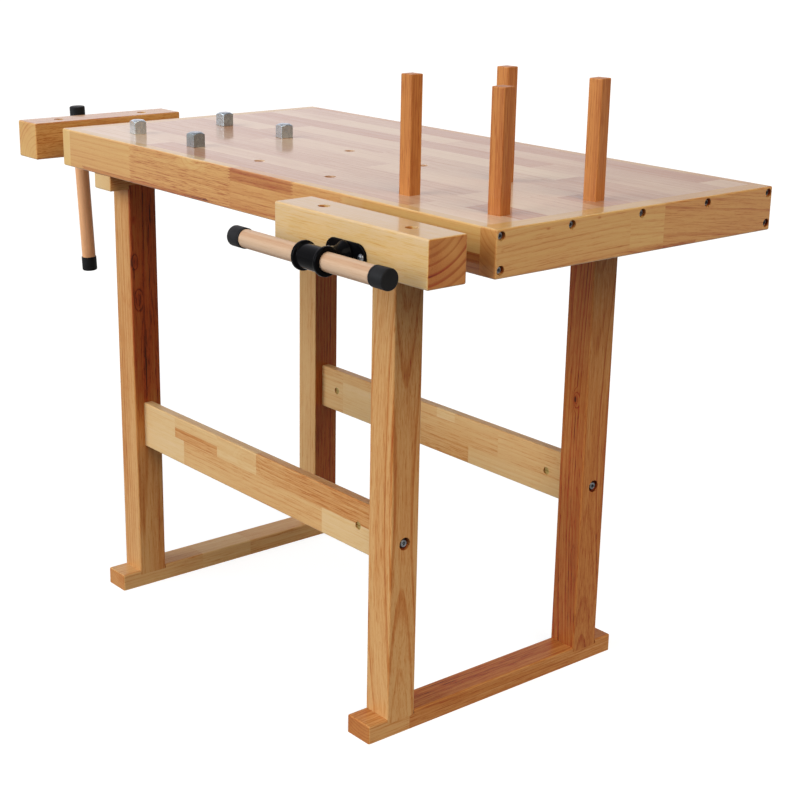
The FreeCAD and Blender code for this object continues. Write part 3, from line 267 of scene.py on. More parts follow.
def put(tree, kind, inputs=None, **settings):
    """Adds a node with its settings, and gives its sockets values or joins them to wires."""
    node = tree.nodes.new(kind)
    for name, value in settings.items():
        setattr(node, name, value)
    join_inputs(tree, node, inputs or {})
    return Wires(tree, node)


def join_inputs(tree, node, inputs):
    """Gives a node's sockets values, or joins them to wires."""
    for key, value in inputs.items():
        if isinstance(value, Wire):
            tree.links.new(value.socket, node.inputs[key])
        else:
            node.inputs[key].default_value = value


def put_fed(kind, socket, shapes, inputs=None, **settings):
    """Adds a node that takes several shapes in one socket."""
    wires = put(shapes[0].tree, kind, inputs, **settings)
    for shape in shapes:
        shape.tree.links.new(shape.socket, wires.node.inputs[socket])
    return wires[0]


def vector(**parts):
    """A vector from its parts X, Y and Z, of which at least one is a wire."""
    tree = next(part.tree for part in parts.values() if isinstance(part, Wire))
    return put(tree, "ShaderNodeCombineXYZ", parts)[0]


def stretch(value, low, high):
    """Where a value lies between two others, from 0 to 1."""
    inputs = {"Value": value, "From Min": low, "From Max": high}
    return put(value.tree, "ShaderNodeMapRange", inputs, interpolation_type="SMOOTHSTEP")["Result"]


def ramp(value, stops):
    """A colour ramp's result. Stops are (place, colour or grey level)."""
    wires = put(value.tree, "ShaderNodeValToRGB", {"Fac": value})
    elements = wires.node.color_ramp.elements
    while len(elements) < len(stops):
        elements.new(1.0)
    for element, (place, tone) in zip(elements, stops):
        element.position = place
        element.color = (*tone, 1.0) if hasattr(tone, "__len__") else (tone, tone, tone, 1.0)
    return wires["Color"]


def noise(point, scale, detail=2.0, roughness=0.5):
    """A noise texture stretched by a scale for each axis."""
    inputs = {"Vector": point * scale, "Scale": 1.0, "Detail": detail, "Roughness": roughness}
    return put(point.tree, "ShaderNodeTexNoise", inputs)


def chance(place):
    """Chance values that depend on a place alone."""
    return put(place.tree, "ShaderNodeTexWhiteNoise", {"Vector": place})


def new_group(name, kind, inputs, outputs):
    """An empty node group, what it is given and its result. An input is told by its default, or by
    its type where it has none."""
    tree = bpy.data.node_groups.new(name, kind)
    for label, default in inputs.items():
        socket_type = default if isinstance(default, str) else SOCKET_TYPES[type(default)]
        socket = tree.interface.new_socket(label, in_out="INPUT", socket_type=socket_type)
        if socket_type != default:
            socket.default_value = default
    for label, socket_type in outputs.items():
        tree.interface.new_socket(label, in_out="OUTPUT", socket_type=socket_type)
    return tree, Wires(tree, tree.nodes.new("NodeGroupInput")), tree.nodes.new("NodeGroupOutput")


def group_named(name, make):
    """A shared node group, made the first time it is asked for."""
    return bpy.data.node_groups.get(name) or make()


def growth_group():
    """Rings round a bowed, wandering pith, with streaks, dashes and pores. The grain runs along X."""
    levels = ("Ring", "Streak", "Dash", "Pore")
    tree, given, result = new_group("Wood growth", "ShaderNodeTree", {
        "Point": "NodeSocketVector", "Pith": (0.0, 0.03, -0.06), "Bow": (0.0, 0.0, 0.0),
        "Ring Width": 0.006, "Wander": 0.008, "Swell": 0.0, "Seed": 1.0,
    }, dict.fromkeys(levels, "NodeSocketFloat"))
    point, seed = given["Point"], given["Seed"]
    from_pith = point + given["Pith"]
    along = from_pith.part("X")
    bowed = given["Bow"] * (along * along)
    drift = noise(point, (1.6, 9.0, 9.0))["Color"] - (0.5, 0.5, 0.5)
    wandered = from_pith + bowed + drift * given["Wander"]
    radius = (wandered * (0.0, 1.0, 1.0)).math("LENGTH")
    years = (radius + given["Swell"]) / given["Ring Width"]
    uneven = noise(vector(X=years, Y=along, Z=seed), (0.8, 1.5, 1.0), detail=1.0)["Fac"]
    counted = uneven * 1.1 + years
    year_strength = chance(vector(X=counted.math("FLOOR"), Y=seed))["Value"] * 0.7 + 0.3
    season = ramp(counted.math("FRACT"), [(0.0, 0.0), (0.62, 0.10), (0.86, 1.0), (0.95, 0.8), (1.0, 0.0)])
    streak = noise(wandered, (4.0, 210.0, 210.0), detail=3.0, roughness=0.6)["Fac"]
    dashes = noise(wandered, (26.0, 760.0, 760.0), roughness=0.55)["Fac"]
    pores = noise(point, (110.0, 1500.0, 1500.0), detail=0.0)["Fac"]
    made = (season * year_strength, streak, stretch(dashes, 0.50, 0.68), stretch(pores, 0.64, 0.74))
    join_inputs(tree, result, dict(zip(levels, made)))
    return tree


def near_edge(value, size, half_gap):
    """1 at the edges of unit cells, where a cell's real size is given."""
    fraction = value.math("FRACT")
    distance = fraction.math("MINIMUM", 1.0 - fraction) * size
    return 1.0 - stretch(distance, half_gap * 0.4, half_gap)


def stave_group():
    """Boards glued from staves: rows across the grain, butt joints along it, a tone for each stave."""
    tree, given, result = new_group("Glued staves", "ShaderNodeTree", {
        "Along": 0.0, "Across": 0.0, "Stave Width": 0.05, "Stave Length": 0.3, "Seed": 0.0,
    }, {"Tone": "NodeSocketFloat", "Offset": "NodeSocketVector", "Joint": "NodeSocketFloat"})
    width, length, seed = given["Stave Width"], given["Stave Length"], given["Seed"]
    rows = given["Across"] / width
    row = rows.math("FLOOR")
    row_start = chance(vector(X=row, Y=seed, Z=7.0))["Value"] * 9.0
    columns = row_start + given["Along"] / length
    stave = chance(vector(X=row, Y=columns.math("FLOOR"), Z=seed))
    long_seam = near_edge(rows, width, SEAM_GAP)
    butt_seam = near_edge(columns, length, BUTT_GAP)
    join_inputs(tree, result, {
        "Tone": stave["Value"], "Offset": stave["Color"] - (0.5, 0.5, 0.5),
        "Joint": long_seam.math("MAXIMUM", butt_seam),
    })
    return tree


def moved(shape, place=(0.0, 0.0, 0.0), turn=(0.0, 0.0, 0.0)):
    inputs = {"Geometry": shape, "Translation": place, "Rotation": turn}
    return put(shape.tree, "GeometryNodeTransform", inputs)["Geometry"]


def raised(shape, height):
    return moved(shape, vector(Z=height))


def joined(*shapes):
    return put_fed("GeometryNodeJoinGeometry", 0, shapes)


def carved(body, *tools):
    """A body with tools cut out of it."""
    settings = {"operation": "DIFFERENCE", "solver": "EXACT"}
    return put_fed("GeometryNodeMeshBoolean", "Mesh 2", tools, {"Mesh 1": body}, **settings)


def common(*shapes):
    """What shapes have in common."""
    return put_fed("GeometryNodeMeshBoolean", "Mesh 2", shapes, operation="INTERSECT", solver="EXACT")


def standing_bar(radius, length, foot=0.0, sides=ROUND_SIDES):
    """A closed round or many-sided bar that stands on a height along +Z."""
    inputs = {"Vertices": sides, "Radius": radius, "Depth": length}
    mesh = put(length.tree, "GeometryNodeMeshCylinder", inputs)["Mesh"]
    return raised(mesh, length * 0.5 + foot)


def cone(top_radius, foot_radius, height, foot):
    """A closed cone that stands on a height along +Z."""
    inputs = {
        "Vertices": ROUND_SIDES, "Radius Top": top_radius, "Radius Bottom": foot_radius, "Depth": height,
    }
    return raised(put(height.tree, "GeometryNodeMeshCone", inputs)["Mesh"], foot)


def bevelled_head(block, height, top_radius, spread):
    """A block cut down to a height, with its top bevelled to a radius. Spread is the bevel's slope."""
    depth = height * 1.1
    return common(block, cone(top_radius, depth * spread + top_radius, depth, height * -0.1))


def thread_group():
    """A threaded bar from the origin up Z: a core, and a ridge that winds round it."""
    tree, given, result = new_group("Threaded bar", "GeometryNodeTree", {
        "Radius": 3.0 * MM, "Thread Depth": 0.6 * MM, "Pitch": 1.0 * MM, "Crest": 0.15, "Length": 20.0 * MM,
    }, {"Mesh": "NodeSocketGeometry"})
    radius, depth, pitch = given["Radius"], given["Thread Depth"], given["Pitch"]
    wound = given["Length"] - pitch
    ridge_height = depth * 1.15
    ridge_radius = ridge_height * -0.5 + radius
    path = put(tree, "GeometryNodeCurveSpiral", {
        "Resolution": TURN_STEPS, "Rotations": wound / pitch,
        "Start Radius": ridge_radius, "End Radius": ridge_radius, "Height": wound,
    })["Curve"]
    path = put(tree, "GeometryNodeSetCurveNormal", {"Curve": path}, mode="Z_UP")["Curve"]
    profile = put(tree, "GeometryNodeCurvePrimitiveQuadrilateral", {
        "Height": ridge_height, "Bottom Width": pitch * 0.8, "Top Width": pitch * given["Crest"],
        "Offset": 0.0,
    }, mode="TRAPEZOID")["Curve"]
    profile = moved(profile, turn=QUARTER_TURN)
    inputs = {"Curve": path, "Profile Curve": profile, "Fill Caps": True}
    ridge = raised(put(tree, "GeometryNodeCurveToMesh", inputs)["Mesh"], pitch * 0.5)
    core = standing_bar(radius - depth, given["Length"])
    join_inputs(tree, result, {"Mesh": joined(ridge, core)})
    return tree


def threaded_bar(radius, depth, pitch, length, crest=0.15):
    """A bar with a thread from end to end. Crest is the width of the ridge's top to the pitch."""
    inputs = {"Radius": radius, "Thread Depth": depth, "Pitch": pitch, "Length": length, "Crest": crest}
    shared = group_named("Threaded bar", thread_group)
    return put(length.tree, "GeometryNodeGroup", inputs, node_tree=shared)["Mesh"]


def give_shape(given, result, shape):
    """Ends a tree: its copies are made real and get their material."""
    tree = shape.tree
    inputs = {"Material": given["Material"]}
    inputs["Geometry"] = put(tree, "GeometryNodeRealizeInstances", {"Geometry": shape})["Geometry"]
    join_inputs(tree, result, {"Geometry": put(tree, "GeometryNodeSetMaterial", inputs)["Geometry"]})


def set_at_places(given, result, shape):
    """Sets a shape at every place, turned to face that way, with a chance turn about its own axis."""
    tree = shape.tree
    facing = put(tree, "GeometryNodeInputNamedAttribute", {"Name": "facing"}, data_type="FLOAT_VECTOR")
    turn = put(tree, "FunctionNodeAlignRotationToVector", {"Vector": facing["Attribute"]}, axis="Z")
    any_turn = put(tree, "FunctionNodeRandomValue", {3: math.tau, "Seed": given["Seed"]})[1]
    twist = put(tree, "FunctionNodeEulerToRotation", {0: vector(Z=any_turn)})
    inputs = {"Rotation": turn[0], "Rotate By": twist[0]}
    turn = put(tree, "FunctionNodeRotateRotation", inputs, rotation_space="LOCAL")
    inputs = {"Points": given["Places"], "Instance": shape, "Rotation": turn[0]}
    give_shape(given, result, put(tree, "GeometryNodeInstanceOnPoints", inputs)["Instances"])


def fastener_group(name, sizes):
    """An empty tree for one kind of fastener: its places, its sizes, a seed and its material."""
    inputs = {"Places": "NodeSocketGeometry", **sizes, "Seed": 1, "Material": "NodeSocketMaterial"}
    return new_group(name, "GeometryNodeTree", inputs, {"Geometry": "NodeSocketGeometry"})


def cap_bolt_group():
    """Round-headed bolts with a hexagon socket, each over a washer where it has one."""
    tree, given, result = fastener_group("Cap bolts", {
        "Head Radius": 5.0 * MM, "Head Height": 6.0 * MM, "Socket": 5.0 * MM,
        "Shank Radius": 3.0 * MM, "Shank Length": 60.0 * MM, "Thread Length": 24.0 * MM,
        "Pitch": 1.0 * MM, "Washer Radius": 0.0, "Washer Thickness": 1.6 * MM,
    })
    radius, height, shank = given["Head Radius"], given["Head Height"], given["Shank Radius"]
    length, wound, pitch = given["Shank Length"], given["Thread Length"], given["Pitch"]
    head = bevelled_head(standing_bar(radius, height * BLOCK_EXCESS), height, radius * 0.9, 0.8)
    corner = given["Socket"] / ROOT_3
    head = carved(head, standing_bar(corner, height, foot=height * 0.45, sides=6))
    plain = length - wound
    neck = standing_bar(shank, plain, foot=-plain)
    thread = raised(threaded_bar(shank, pitch * 0.6, pitch, wound), -length)
    rim, thickness = given["Washer Radius"], given["Washer Thickness"]
    disc = standing_bar(rim, thickness, foot=-thickness)
    hole = standing_bar(shank * 1.06, thickness * 3.0, foot=thickness * -2.0)
    inputs = {"Switch": rim.math("GREATER_THAN", 0.0), "True": carved(disc, hole)}
    washer = put(tree, "GeometryNodeSwitch", inputs, input_type="GEOMETRY")["Output"]
    set_at_places(given, result, joined(head, neck, thread, washer))
    return tree


def lag_screw_group():
    """Hexagon-headed wood screws with a coarse thread and a point."""
    tree, given, result = fastener_group("Lag screws", {
        "Flats": 13.0 * MM, "Head Height": 5.5 * MM, "Shank Radius": 4.0 * MM,
        "Shank Length": 80.0 * MM, "Thread Length": 52.0 * MM, "Pitch": 3.0 * MM,
    })
    flats, height, shank = given["Flats"], given["Head Height"], given["Shank Radius"]
    length, wound = given["Shank Length"], given["Thread Length"]
    block = standing_bar(flats / ROOT_3, height * BLOCK_EXCESS, sides=6)
    head = bevelled_head(block, height, flats * 0.47, ROOT_3)
    tip = shank * 2.0
    plain = length - (wound + tip)
    neck = standing_bar(shank, plain, foot=-plain)
    thread = raised(threaded_bar(shank, shank * 0.25, given["Pitch"], wound), tip - length)
    point = cone(shank * 0.76, 0.2 * MM, tip, -length)
    set_at_places(given, result, joined(head, neck, thread, point))
    return tree


def pan_screw_group():
    """Domed wood screws with a cross recess."""
    tree, given, result = fastener_group("Pan screws", {
        "Head Radius": 4.8 * MM, "Head Height": 3.2 * MM, "Shank Radius": 2.25 * MM,
        "Shank Length": 16.0 * MM, "Pitch": 1.8 * MM,
    })
    radius, height, shank = given["Head Radius"], given["Head Height"], given["Shank Radius"]
    length = given["Shank Length"]
    dome = (radius * radius + height * height) / (height * 2.0)
    ball = put(tree, "GeometryNodeMeshUVSphere", {"Segments": 32, "Rings": 32, "Radius": dome})["Mesh"]
    head = common(raised(ball, height - dome), standing_bar(radius, height * 2.0))
    arm_size = vector(X=radius * 1.1, Y=radius * 0.27, Z=height)
    arm = raised(put(tree, "GeometryNodeMeshCube", {"Size": arm_size})["Mesh"], height * 1.05)
    head = carved(head, arm, moved(arm, turn=QUARTER_TURN))
    tip = shank * 2.0
    wound = length - tip
    thread = raised(threaded_bar(shank, shank * 0.3, given["Pitch"], wound), -wound)
    point = cone(shank * 0.72, 0.1 * MM, tip, -length)
    set_at_places(given, result, joined(head, thread, point))
    return tree


def vise_screw_group():
    """A vise screw from the end of its spigot up Z, turned and moved to its place."""
    tree, given, result = new_group("Vise screw", "GeometryNodeTree", {
        "Radius": 10.0 * MM, "Thread Depth": 1.8 * MM, "Pitch": 6.0 * MM, "Spigot Radius": 8.0 * MM,
        "Spigot Length": 36.0 * MM, "Length": 0.3, "Place": (0.0, 0.0, 0.0), "Turn": (0.0, 0.0, 0.0),
        "Material": "NodeSocketMaterial",
    }, {"Geometry": "NodeSocketGeometry"})
    spigot_length = given["Spigot Length"]
    spigot = standing_bar(given["Spigot Radius"], spigot_length + SPIGOT_OVERLAP)
    depth, wound = given["Thread Depth"], given["Length"] - spigot_length
    thread = threaded_bar(given["Radius"], depth, given["Pitch"], wound, crest=0.36)
    shape = joined(spigot, raised(thread, spigot_length))
    give_shape(given, result, moved(shape, given["Place"], given["Turn"]))
    return tree


def new_material(name):
    """A material with an empty tree, its shader and its output."""
    material = bpy.data.materials.new(name)
    material.use_nodes = True
    tree = material.node_tree
    tree.nodes.clear()
    shader = put(tree, "ShaderNodeBsdfPrincipled")
    put(tree, "ShaderNodeOutputMaterial", {"Surface": shader["BSDF"]})
    return material, tree, shader.node


def bump(height, strength, distance):
    """A normal that follows a height."""
    inputs = {"Height": height, "Strength": strength, "Distance": distance}
    return put(height.tree, "ShaderNodeBump", inputs)["Normal"]


# ---- wood ---------------------------------------------------------------------------------------
class Board(NamedTuple):
    """How one wooden piece is cut. Places are in metres from its middle, with the grain along X."""

    grain: str                          # axis of the piece that the grain follows
    tone: float                         # 0 is pale sapwood, 1 is the darkest knot
    seed: float = 1.0                   # sets its figure apart from that of the other pieces
    rows: str = "Y"                     # axis that glued staves and blocks are counted along
    stave: tuple = ()                   # width and length of the staves
    spread: float = 0.0                 # how far the staves differ in tone
    teeth: float = 0.0                  # length of the finger joints between blocks
    blocks: tuple = ()                  # (from x, to x, from row, to row, change of tone, share of dashes)
    pith: tuple = (0.0, 0.03, -0.06)    # added to a point to reach the pith's own frame
    bow: tuple = (0.0, 0.0)             # how far the pith bends away, in metres at a metre
    lean: tuple = (0.0, 0.0)            # degrees between the grain and the piece
    ring: float = 0.006                 # width of a year's growth
    rings: float = 0.12                 # strength of the rings
    wander: float = 0.008               # how far the pith strays from its line
    streaks: float = 0.30               # strength of the long streaks
    dashes: float = 0.16                # strength of the short dashes
    end: float = 0.10                   # change of tone on end grain
    end_rings: float = 0.25             # strength of the rings on end grain
    shaded_side: tuple = ()                   # (y, z, depth, change of tone): painted shade on the side beyond a depth that way
    knots: tuple = ()                   # (x, y, z, radius, change of tone)
    painted_top_shading: float = 0.0                  # painted highlight on the upper face where negative and painted shade where positive: change of tone there
    kind: str = "rosy"                  # which tones it runs through
    gloss: str = "frame"                # which lacquer it has


def grain_frame(tree, board, low, high):
    """Points and normals laid along the grain from the piece's middle, and the depth inside its box."""
    lean = Euler((0.0, *map(math.radians, board.lean)))
    whole = lean.to_matrix() @ Euler(GRAIN_TURNS[board.grain]).to_matrix()
    middle, half = (low + high) / 2, (high - low) / 2
    spot = put(tree, "ShaderNodeTexCoord")["Object"]
    inputs = {"Vector": spot, "Location": -(whole @ middle), "Rotation": whole.to_euler()}
    point = put(tree, "ShaderNodeMapping", inputs)["Vector"]
    inputs = {"Vector": put(tree, "ShaderNodeTexCoord")["Normal"], "Rotation": whole.to_euler()}
    facing = put(tree, "ShaderNodeMapping", inputs, vector_type="VECTOR")["Vector"]
    inside = -(spot - middle).math("ABSOLUTE") + half
    depth = inside.part("X").math("MINIMUM", inside.part("Y").math("MINIMUM", inside.part("Z")))
    return point, facing, depth


def lay_staves(board, along, across):
    """The tone of a board's staves, how far their growth is moved and the darkening of their seams."""
    inputs = {"Along": along, "Across": across, "Stave Width": board.stave[0],
              "Stave Length": board.stave[1], "Seed": board.seed}
    shared = group_named("Glued staves", stave_group)
    stave = put(along.tree, "ShaderNodeGroup", inputs, node_tree=shared)
    tone = stave["Tone"] * board.spread + (board.tone - board.spread / 2)
    return tone, stave["Offset"] * STAVE_STEPS, stave["Joint"] * SEAM_DARKNESS


def lay_blocks(board, along, across, tone, shift):
    """Changes the tone and the dashes and moves the growth inside each of a board's blocks."""
    lively = 1.0
    for number, (start, stop, bottom, top, change, dashed) in enumerate(board.blocks):
        in_length = along.math("COMPARE", (start + stop) / 2, (stop - start) / 2)
        in_height = across.math("COMPARE", (bottom + top) / 2, (top - bottom) / 2)
        inside = in_length * in_height
        tone = inside * change + tone
        lively = inside * (dashed - 1.0) + lively
        turn = number * BLOCK_TURN + board.seed
        sideways = (BLOCK_SIDESTEP * math.sin(turn), BLOCK_SIDESTEP * math.cos(turn))
        shift = inside * (BLOCK_STEP * (number + 1), *sideways) + shift
    return tone, shift, lively


def grow_knots(board, point, tone):
    """Changes the tone at a board's knots, and swells the rings round them."""
    swell = 0.0
    for *place, radius, change in board.knots:
        off = (point - place) * (KNOT_STRETCH / radius, 1.0 / radius, 1.0 / radius)
        near = 1.0 - stretch(off.math("LENGTH"), 0.0, 1.0)
        swell = near * (radius * KNOT_SWELL) + swell
        tone = near * change + tone
    return tone, swell


def wood_tone(tree, board, point, facing):
    """The tone at each point of a board, its share of end grain and its growth."""
    along, across = point.part("X"), point.part(board.rows)
    if board.teeth:
        tooth = across.math("PINGPONG", FINGER_PITCH / 2)
        along = tooth * (2 * board.teeth / FINGER_PITCH) + along
    tone, seams = board.tone, 0.0
    start = board.seed * SEED_STEP
    shift = (start, 0.0, 0.0)
    if board.stave:
        tone, offset, seams = lay_staves(board, along, across)
        shift = offset + shift
    tone, shift, lively = lay_blocks(board, along, across, tone, shift)
    tone, swell = grow_knots(board, point, tone)
    grown = point + shift
    x, y, z = board.pith
    growth = put(tree, "ShaderNodeGroup", {
        "Point": grown, "Pith": (x - start, y, z), "Bow": (0.0, *board.bow), "Ring Width": board.ring,
        "Wander": board.wander, "Swell": swell, "Seed": board.seed,
    }, node_tree=group_named("Wood growth", growth_group))
    cloud = noise(grown, CLOUD_SCALE)["Fac"]
    end_grain = stretch(facing.part("X").math("ABSOLUTE"), 0.55, 0.9)
    crowded = (cloud * 1.6 + 0.2) * lively
    marks = growth["Dash"] * board.dashes * crowded + growth["Pore"] * PORE_STRENGTH
    figure = ((growth["Streak"] - 0.5) * board.streaks + marks) * (end_grain * -END_CALM + 1.0)
    ring_strength = end_grain * (board.end_rings - board.rings) + board.rings
    tone = (cloud - 0.5) * CLOUD_STRENGTH + tone + growth["Ring"] * ring_strength + figure
    tone = tone + end_grain * board.end + seams
    # Painted light: faces that point up get a lighter tone (painted highlight) for a negative change and a
    # darker one (painted shade) for a positive change.
    if board.painted_top_shading:
        upward = put(tree, "ShaderNodeTexCoord")["Normal"].part("Z")
        tone = tone + stretch(upward, 0.5, 0.9) * board.painted_top_shading
    # Painted shade: one side of the piece, beyond a depth that way, is given a darker tone.
    if board.shaded_side:
        *inward, depth, change = board.shaded_side
        reach = point.math("DOT_PRODUCT", (0.0, *inward))
        tone = tone + stretch(reach, depth, depth + SHADED_SIDE_EDGE) * change
    return tone, end_grain, growth


def wood_material(name, board, stops):
    """A lacquered wooden finish for one piece. Stops are the tones from pale to dark."""
    looks = bpy.context.scene.bench_wood
    material, tree, shader = new_material(name)
    point, facing, depth = grain_frame(tree, board, *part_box(name))
    tone, end_grain, growth = wood_tone(tree, board, point, facing)
    # Painted shade in holes: the tone darkens inside bores, partly for the darker bare wood of their walls.
    bore_shade_mask = stretch(depth, 1.2 * MM, 2.5 * MM)
    on_top = board.gloss == "top"
    lacquer = looks.top_gloss if on_top else looks.frame_gloss
    relief = growth["Pore"] * -0.6 + growth["Streak"]
    join_inputs(tree, shader, {
        "Base Color": ramp(bore_shade_mask * BORE_SHADE_AND_BARE_WOOD + tone, stops),
        "Roughness": growth["Streak"] * 0.16 + 0.30,
        "Specular IOR Level": 0.15 if on_top else 0.14,
        "Coat Weight": end_grain * (-END_DRYNESS * lacquer) + lacquer,
        "Coat Roughness": looks.coat_roughness,
        "Normal": bump(relief, 0.12, 0.3 * MM),
    })
    return material


def rubberwood_stops(kind):
    """The tones of one kind of board, from pale to dark."""
    looks = bpy.context.scene.bench_wood
    pale = {
        "cream": (looks.cream, looks.cream_pink, looks.pink_brown),
        "golden": (looks.sapwood, looks.straw, looks.tan),
        "rosy": (looks.sapwood, looks.rosy_straw, looks.rosy_tan),
    }
    tones = (*pale[kind], looks.red_tan, looks.brown, looks.heartwood, looks.knot)
    return list(zip((0.0, 0.25, 0.48, 0.64, 0.78, 0.90, 1.0), tones))


def finish_boards(boards, stops=None):
    """Gives each named CAD piece its own wooden finish."""
    for name, board in boards.items():
        material = wood_material(name, board, stops or rubberwood_stops(board.kind))
        frame["nodes"][name].material_slots[0].material = material


TOP_BOARDS = {
    "top_panel": Board(
        "x", 0.29, seed=4.0, stave=(0.056, 0.36), spread=0.40, pith=(0.0, 0.02, -0.09),
        ring=0.007, rings=0.12, streaks=0.40, dashes=0.12, kind="cream", gloss="top"),
    "front_apron": Board(
        "x", 0.50, seed=2.0, rows="Z", teeth=0.008, pith=(0.0, 0.04, -0.07), ring=0.009, rings=0.12,
        streaks=0.32, dashes=0.20, painted_top_shading=-0.24, kind="golden", gloss="top",
        blocks=(
            (-0.70, -0.349, -0.04, 0.04, -0.12, 0.2),
            (-0.349, -0.034, -0.04, 0.04, -0.06, 1.2),
            (-0.034, 0.266, -0.04, 0.04, 0.05, 0.8),
            (-0.034, 0.140, 0.013, 0.04, 0.12, 1.0),
            (0.266, 0.70, -0.04, 0.04, -0.16, 0.4),
            (-0.52, -0.10, -0.04, -0.027, 0.22, 1.0),
            # lower half of the apron's right end, made darker
            (0.50, 0.70, -0.04, -0.004, 0.34, 1.0),
        ),
        knots=((-0.150, -0.010, 0.040, 0.030, -0.22),)),
    "back_apron": Board(
        "x", 0.46, seed=3.0, rows="Z", stave=(0.2, 0.31), spread=0.3, streaks=0.32, dashes=0.22,
        painted_top_shading=-0.06, gloss="top"),
    "right_end_board": Board(
        "y", 0.38, seed=5.0, rows="Z", pith=(0.0, 0.03, -0.055), bow=(0.0, 0.08), lean=(0.0, 0.5),
        ring=0.009, rings=0.20, streaks=0.20, dashes=0.16, end=0.20, end_rings=0.14, painted_top_shading=-0.16,
        kind="golden", gloss="top",
        blocks=(
            (-0.029, 0.045, -0.024, 0.024, -0.10, 1.0),
            (0.045, 0.31, -0.04, 0.04, 0.11, 1.3),
            (-0.05, 0.12, -0.04, -0.029, 0.20, 1.0),
        ),
        knots=(
            (-0.200, -0.016, 0.025, 0.0035, 0.6), (-0.097, -0.016, 0.029, 0.0030, 0.4),
            (-0.288, -0.016, 0.004, 0.0035, 0.6), (-0.262, -0.016, 0.031, 0.0030, 0.5),
        )),
    "left_end_board": Board(
        "y", 0.34, seed=6.0, rows="Z", pith=(0.0, 0.05, -0.05), end=-0.12, end_rings=0.12,
        painted_top_shading=-0.12, kind="golden", gloss="top"),
}

JAW_BOARDS = {
    "front_jaw": Board(
        "x", 0.04, seed=7.0, pith=(0.0, 0.045, -0.088), wander=0.003, ring=0.0125, rings=0.10,
        streaks=0.16, dashes=0.20, end=0.56, end_rings=0.28, kind="golden", gloss="top"),
    "end_jaw": Board(
        "y", 0.46, seed=8.0, pith=(0.0, 0.04, 0.05), bow=(0.3, 0.0), ring=0.009, rings=0.20, streaks=0.28,
        dashes=0.20, end=-0.12, end_rings=0.18, painted_top_shading=-0.02, kind="golden", gloss="top"),
}

FRAME_BOARDS = {
    "left_foot": Board(
        "y", 0.30, seed=9.0, rows="Z", streaks=0.4, dashes=0.16, end=0.24, end_rings=0.12,
        blocks=((-0.30, -0.10, -0.02, 0.02, 0.08, 1.0), (0.02, 0.30, -0.02, 0.02, 0.12, 1.0))),
    "right_foot": Board(
        "y", 0.63, seed=10.0, rows="Z", streaks=0.4, dashes=0.20, end=0.20, end_rings=0.16, painted_top_shading=0.08,
        blocks=((-0.30, -0.20, -0.02, 0.02, -0.12, 1.0),)),
    "left_bearer": Board("y", 0.46, seed=11.0, dashes=0.2, end=-0.22, end_rings=0.06),
    "right_bearer": Board("y", 0.46, seed=12.0, dashes=0.2, end=-0.10, end_rings=0.06),
    "left_front_leg": Board(
        "z", 0.53, seed=13.0, pith=(0.0, 0.02, 0.06), wander=0.006, lean=(0.5, 0.2), ring=0.008,
        rings=0.16, streaks=0.30, dashes=0.14, shaded_side=(0.0, -1.0, 0.0272, 0.31),
        knots=(
            (0.247, -0.020, -0.0285, 0.011, 0.12), (0.172, -0.015, -0.0285, 0.013, 0.12),
            (0.327, -0.020, -0.0285, 0.006, 0.20),
        )),
    "left_back_leg": Board(
        "z", 0.37, seed=14.0, pith=(0.0, 0.02, 0.05), wander=0.006, rings=0.16, streaks=0.34,
        dashes=0.15, shaded_side=(0.0, -1.0, 0.0272, 0.42)),
    "right_front_leg": Board(
        "z", 0.45, seed=15.0, pith=(0.0, 0.004, -0.010), bow=(0.0, 0.16), wander=0.004, ring=0.010,
        rings=0.28, streaks=0.34, dashes=0.14),
    "right_back_leg": Board(
        "z", 0.62, seed=16.0, pith=(0.0, 0.01, -0.03), bow=(0.0, 0.10), rings=0.20, streaks=0.34,
        dashes=0.16, shaded_side=(-1.0, 0.0, 0.0277, 0.14),
        knots=((0.081, -0.029, -0.001, 0.0035, 0.5), (0.081, -0.029, -0.001, 0.012, 0.10))),
    "front_stretcher": Board(
        "x", 0.41, seed=17.0, rows="Z", pith=(0.0, 0.03, -0.04), streaks=0.36, dashes=0.14,
        ring=0.008, rings=0.12,
        blocks=(
            (-0.50, -0.248, -0.05, 0.05, -0.24, 1.0),
            (-0.248, -0.218, -0.05, 0.004, -0.24, 1.0),
            (-0.248, -0.106, 0.024, 0.05, -0.16, 1.0),
            (-0.248, -0.106, 0.004, 0.024, 0.09, 1.0),
            (-0.106, 0.018, 0.004, 0.05, -0.12, 1.0),
            (0.018, 0.40, 0.002, 0.05, 0.04, 1.0),
            (0.210, 0.50, -0.05, 0.002, -0.26, 1.0),
        ),
        knots=((-0.006, -0.010, 0.026, 0.022, 0.10),)),
    "back_stretcher": Board(
        "x", 0.41, seed=18.0, rows="Z", pith=(0.0, 0.03, -0.04), streaks=0.36, dashes=0.14,
        ring=0.008, rings=0.12,
        blocks=(
            (-0.50, -0.287, -0.05, 0.05, -0.08, 1.0),
            (-0.287, -0.04, -0.05, 0.024, -0.20, 1.0),
            (0.007, 0.059, 0.026, 0.05, -0.26, 1.0),
            (0.10, 0.50, -0.05, -0.01, -0.10, 1.0),
            (0.18, 0.50, -0.01, 0.05, -0.06, 1.0),
        )),
}

PEG_WARMTHS = {
    "peg_front_left": 0.08, "peg_front_right": 0.14, "peg_back_left": 0.08, "peg_back_right": 0.06,
}
PEG_BOARDS = {
    name: Board("z", 0.40 + warmth, seed=19.0 + i, pith=(0.0, 0.04, 0.05 + 0.01 * i), ring=0.004,
                rings=0.26, streaks=0.5, dashes=0.40, shaded_side=(0.0, -1.0, 0.0105, 0.16))
    for i, (name, warmth) in enumerate(PEG_WARMTHS.items())
}

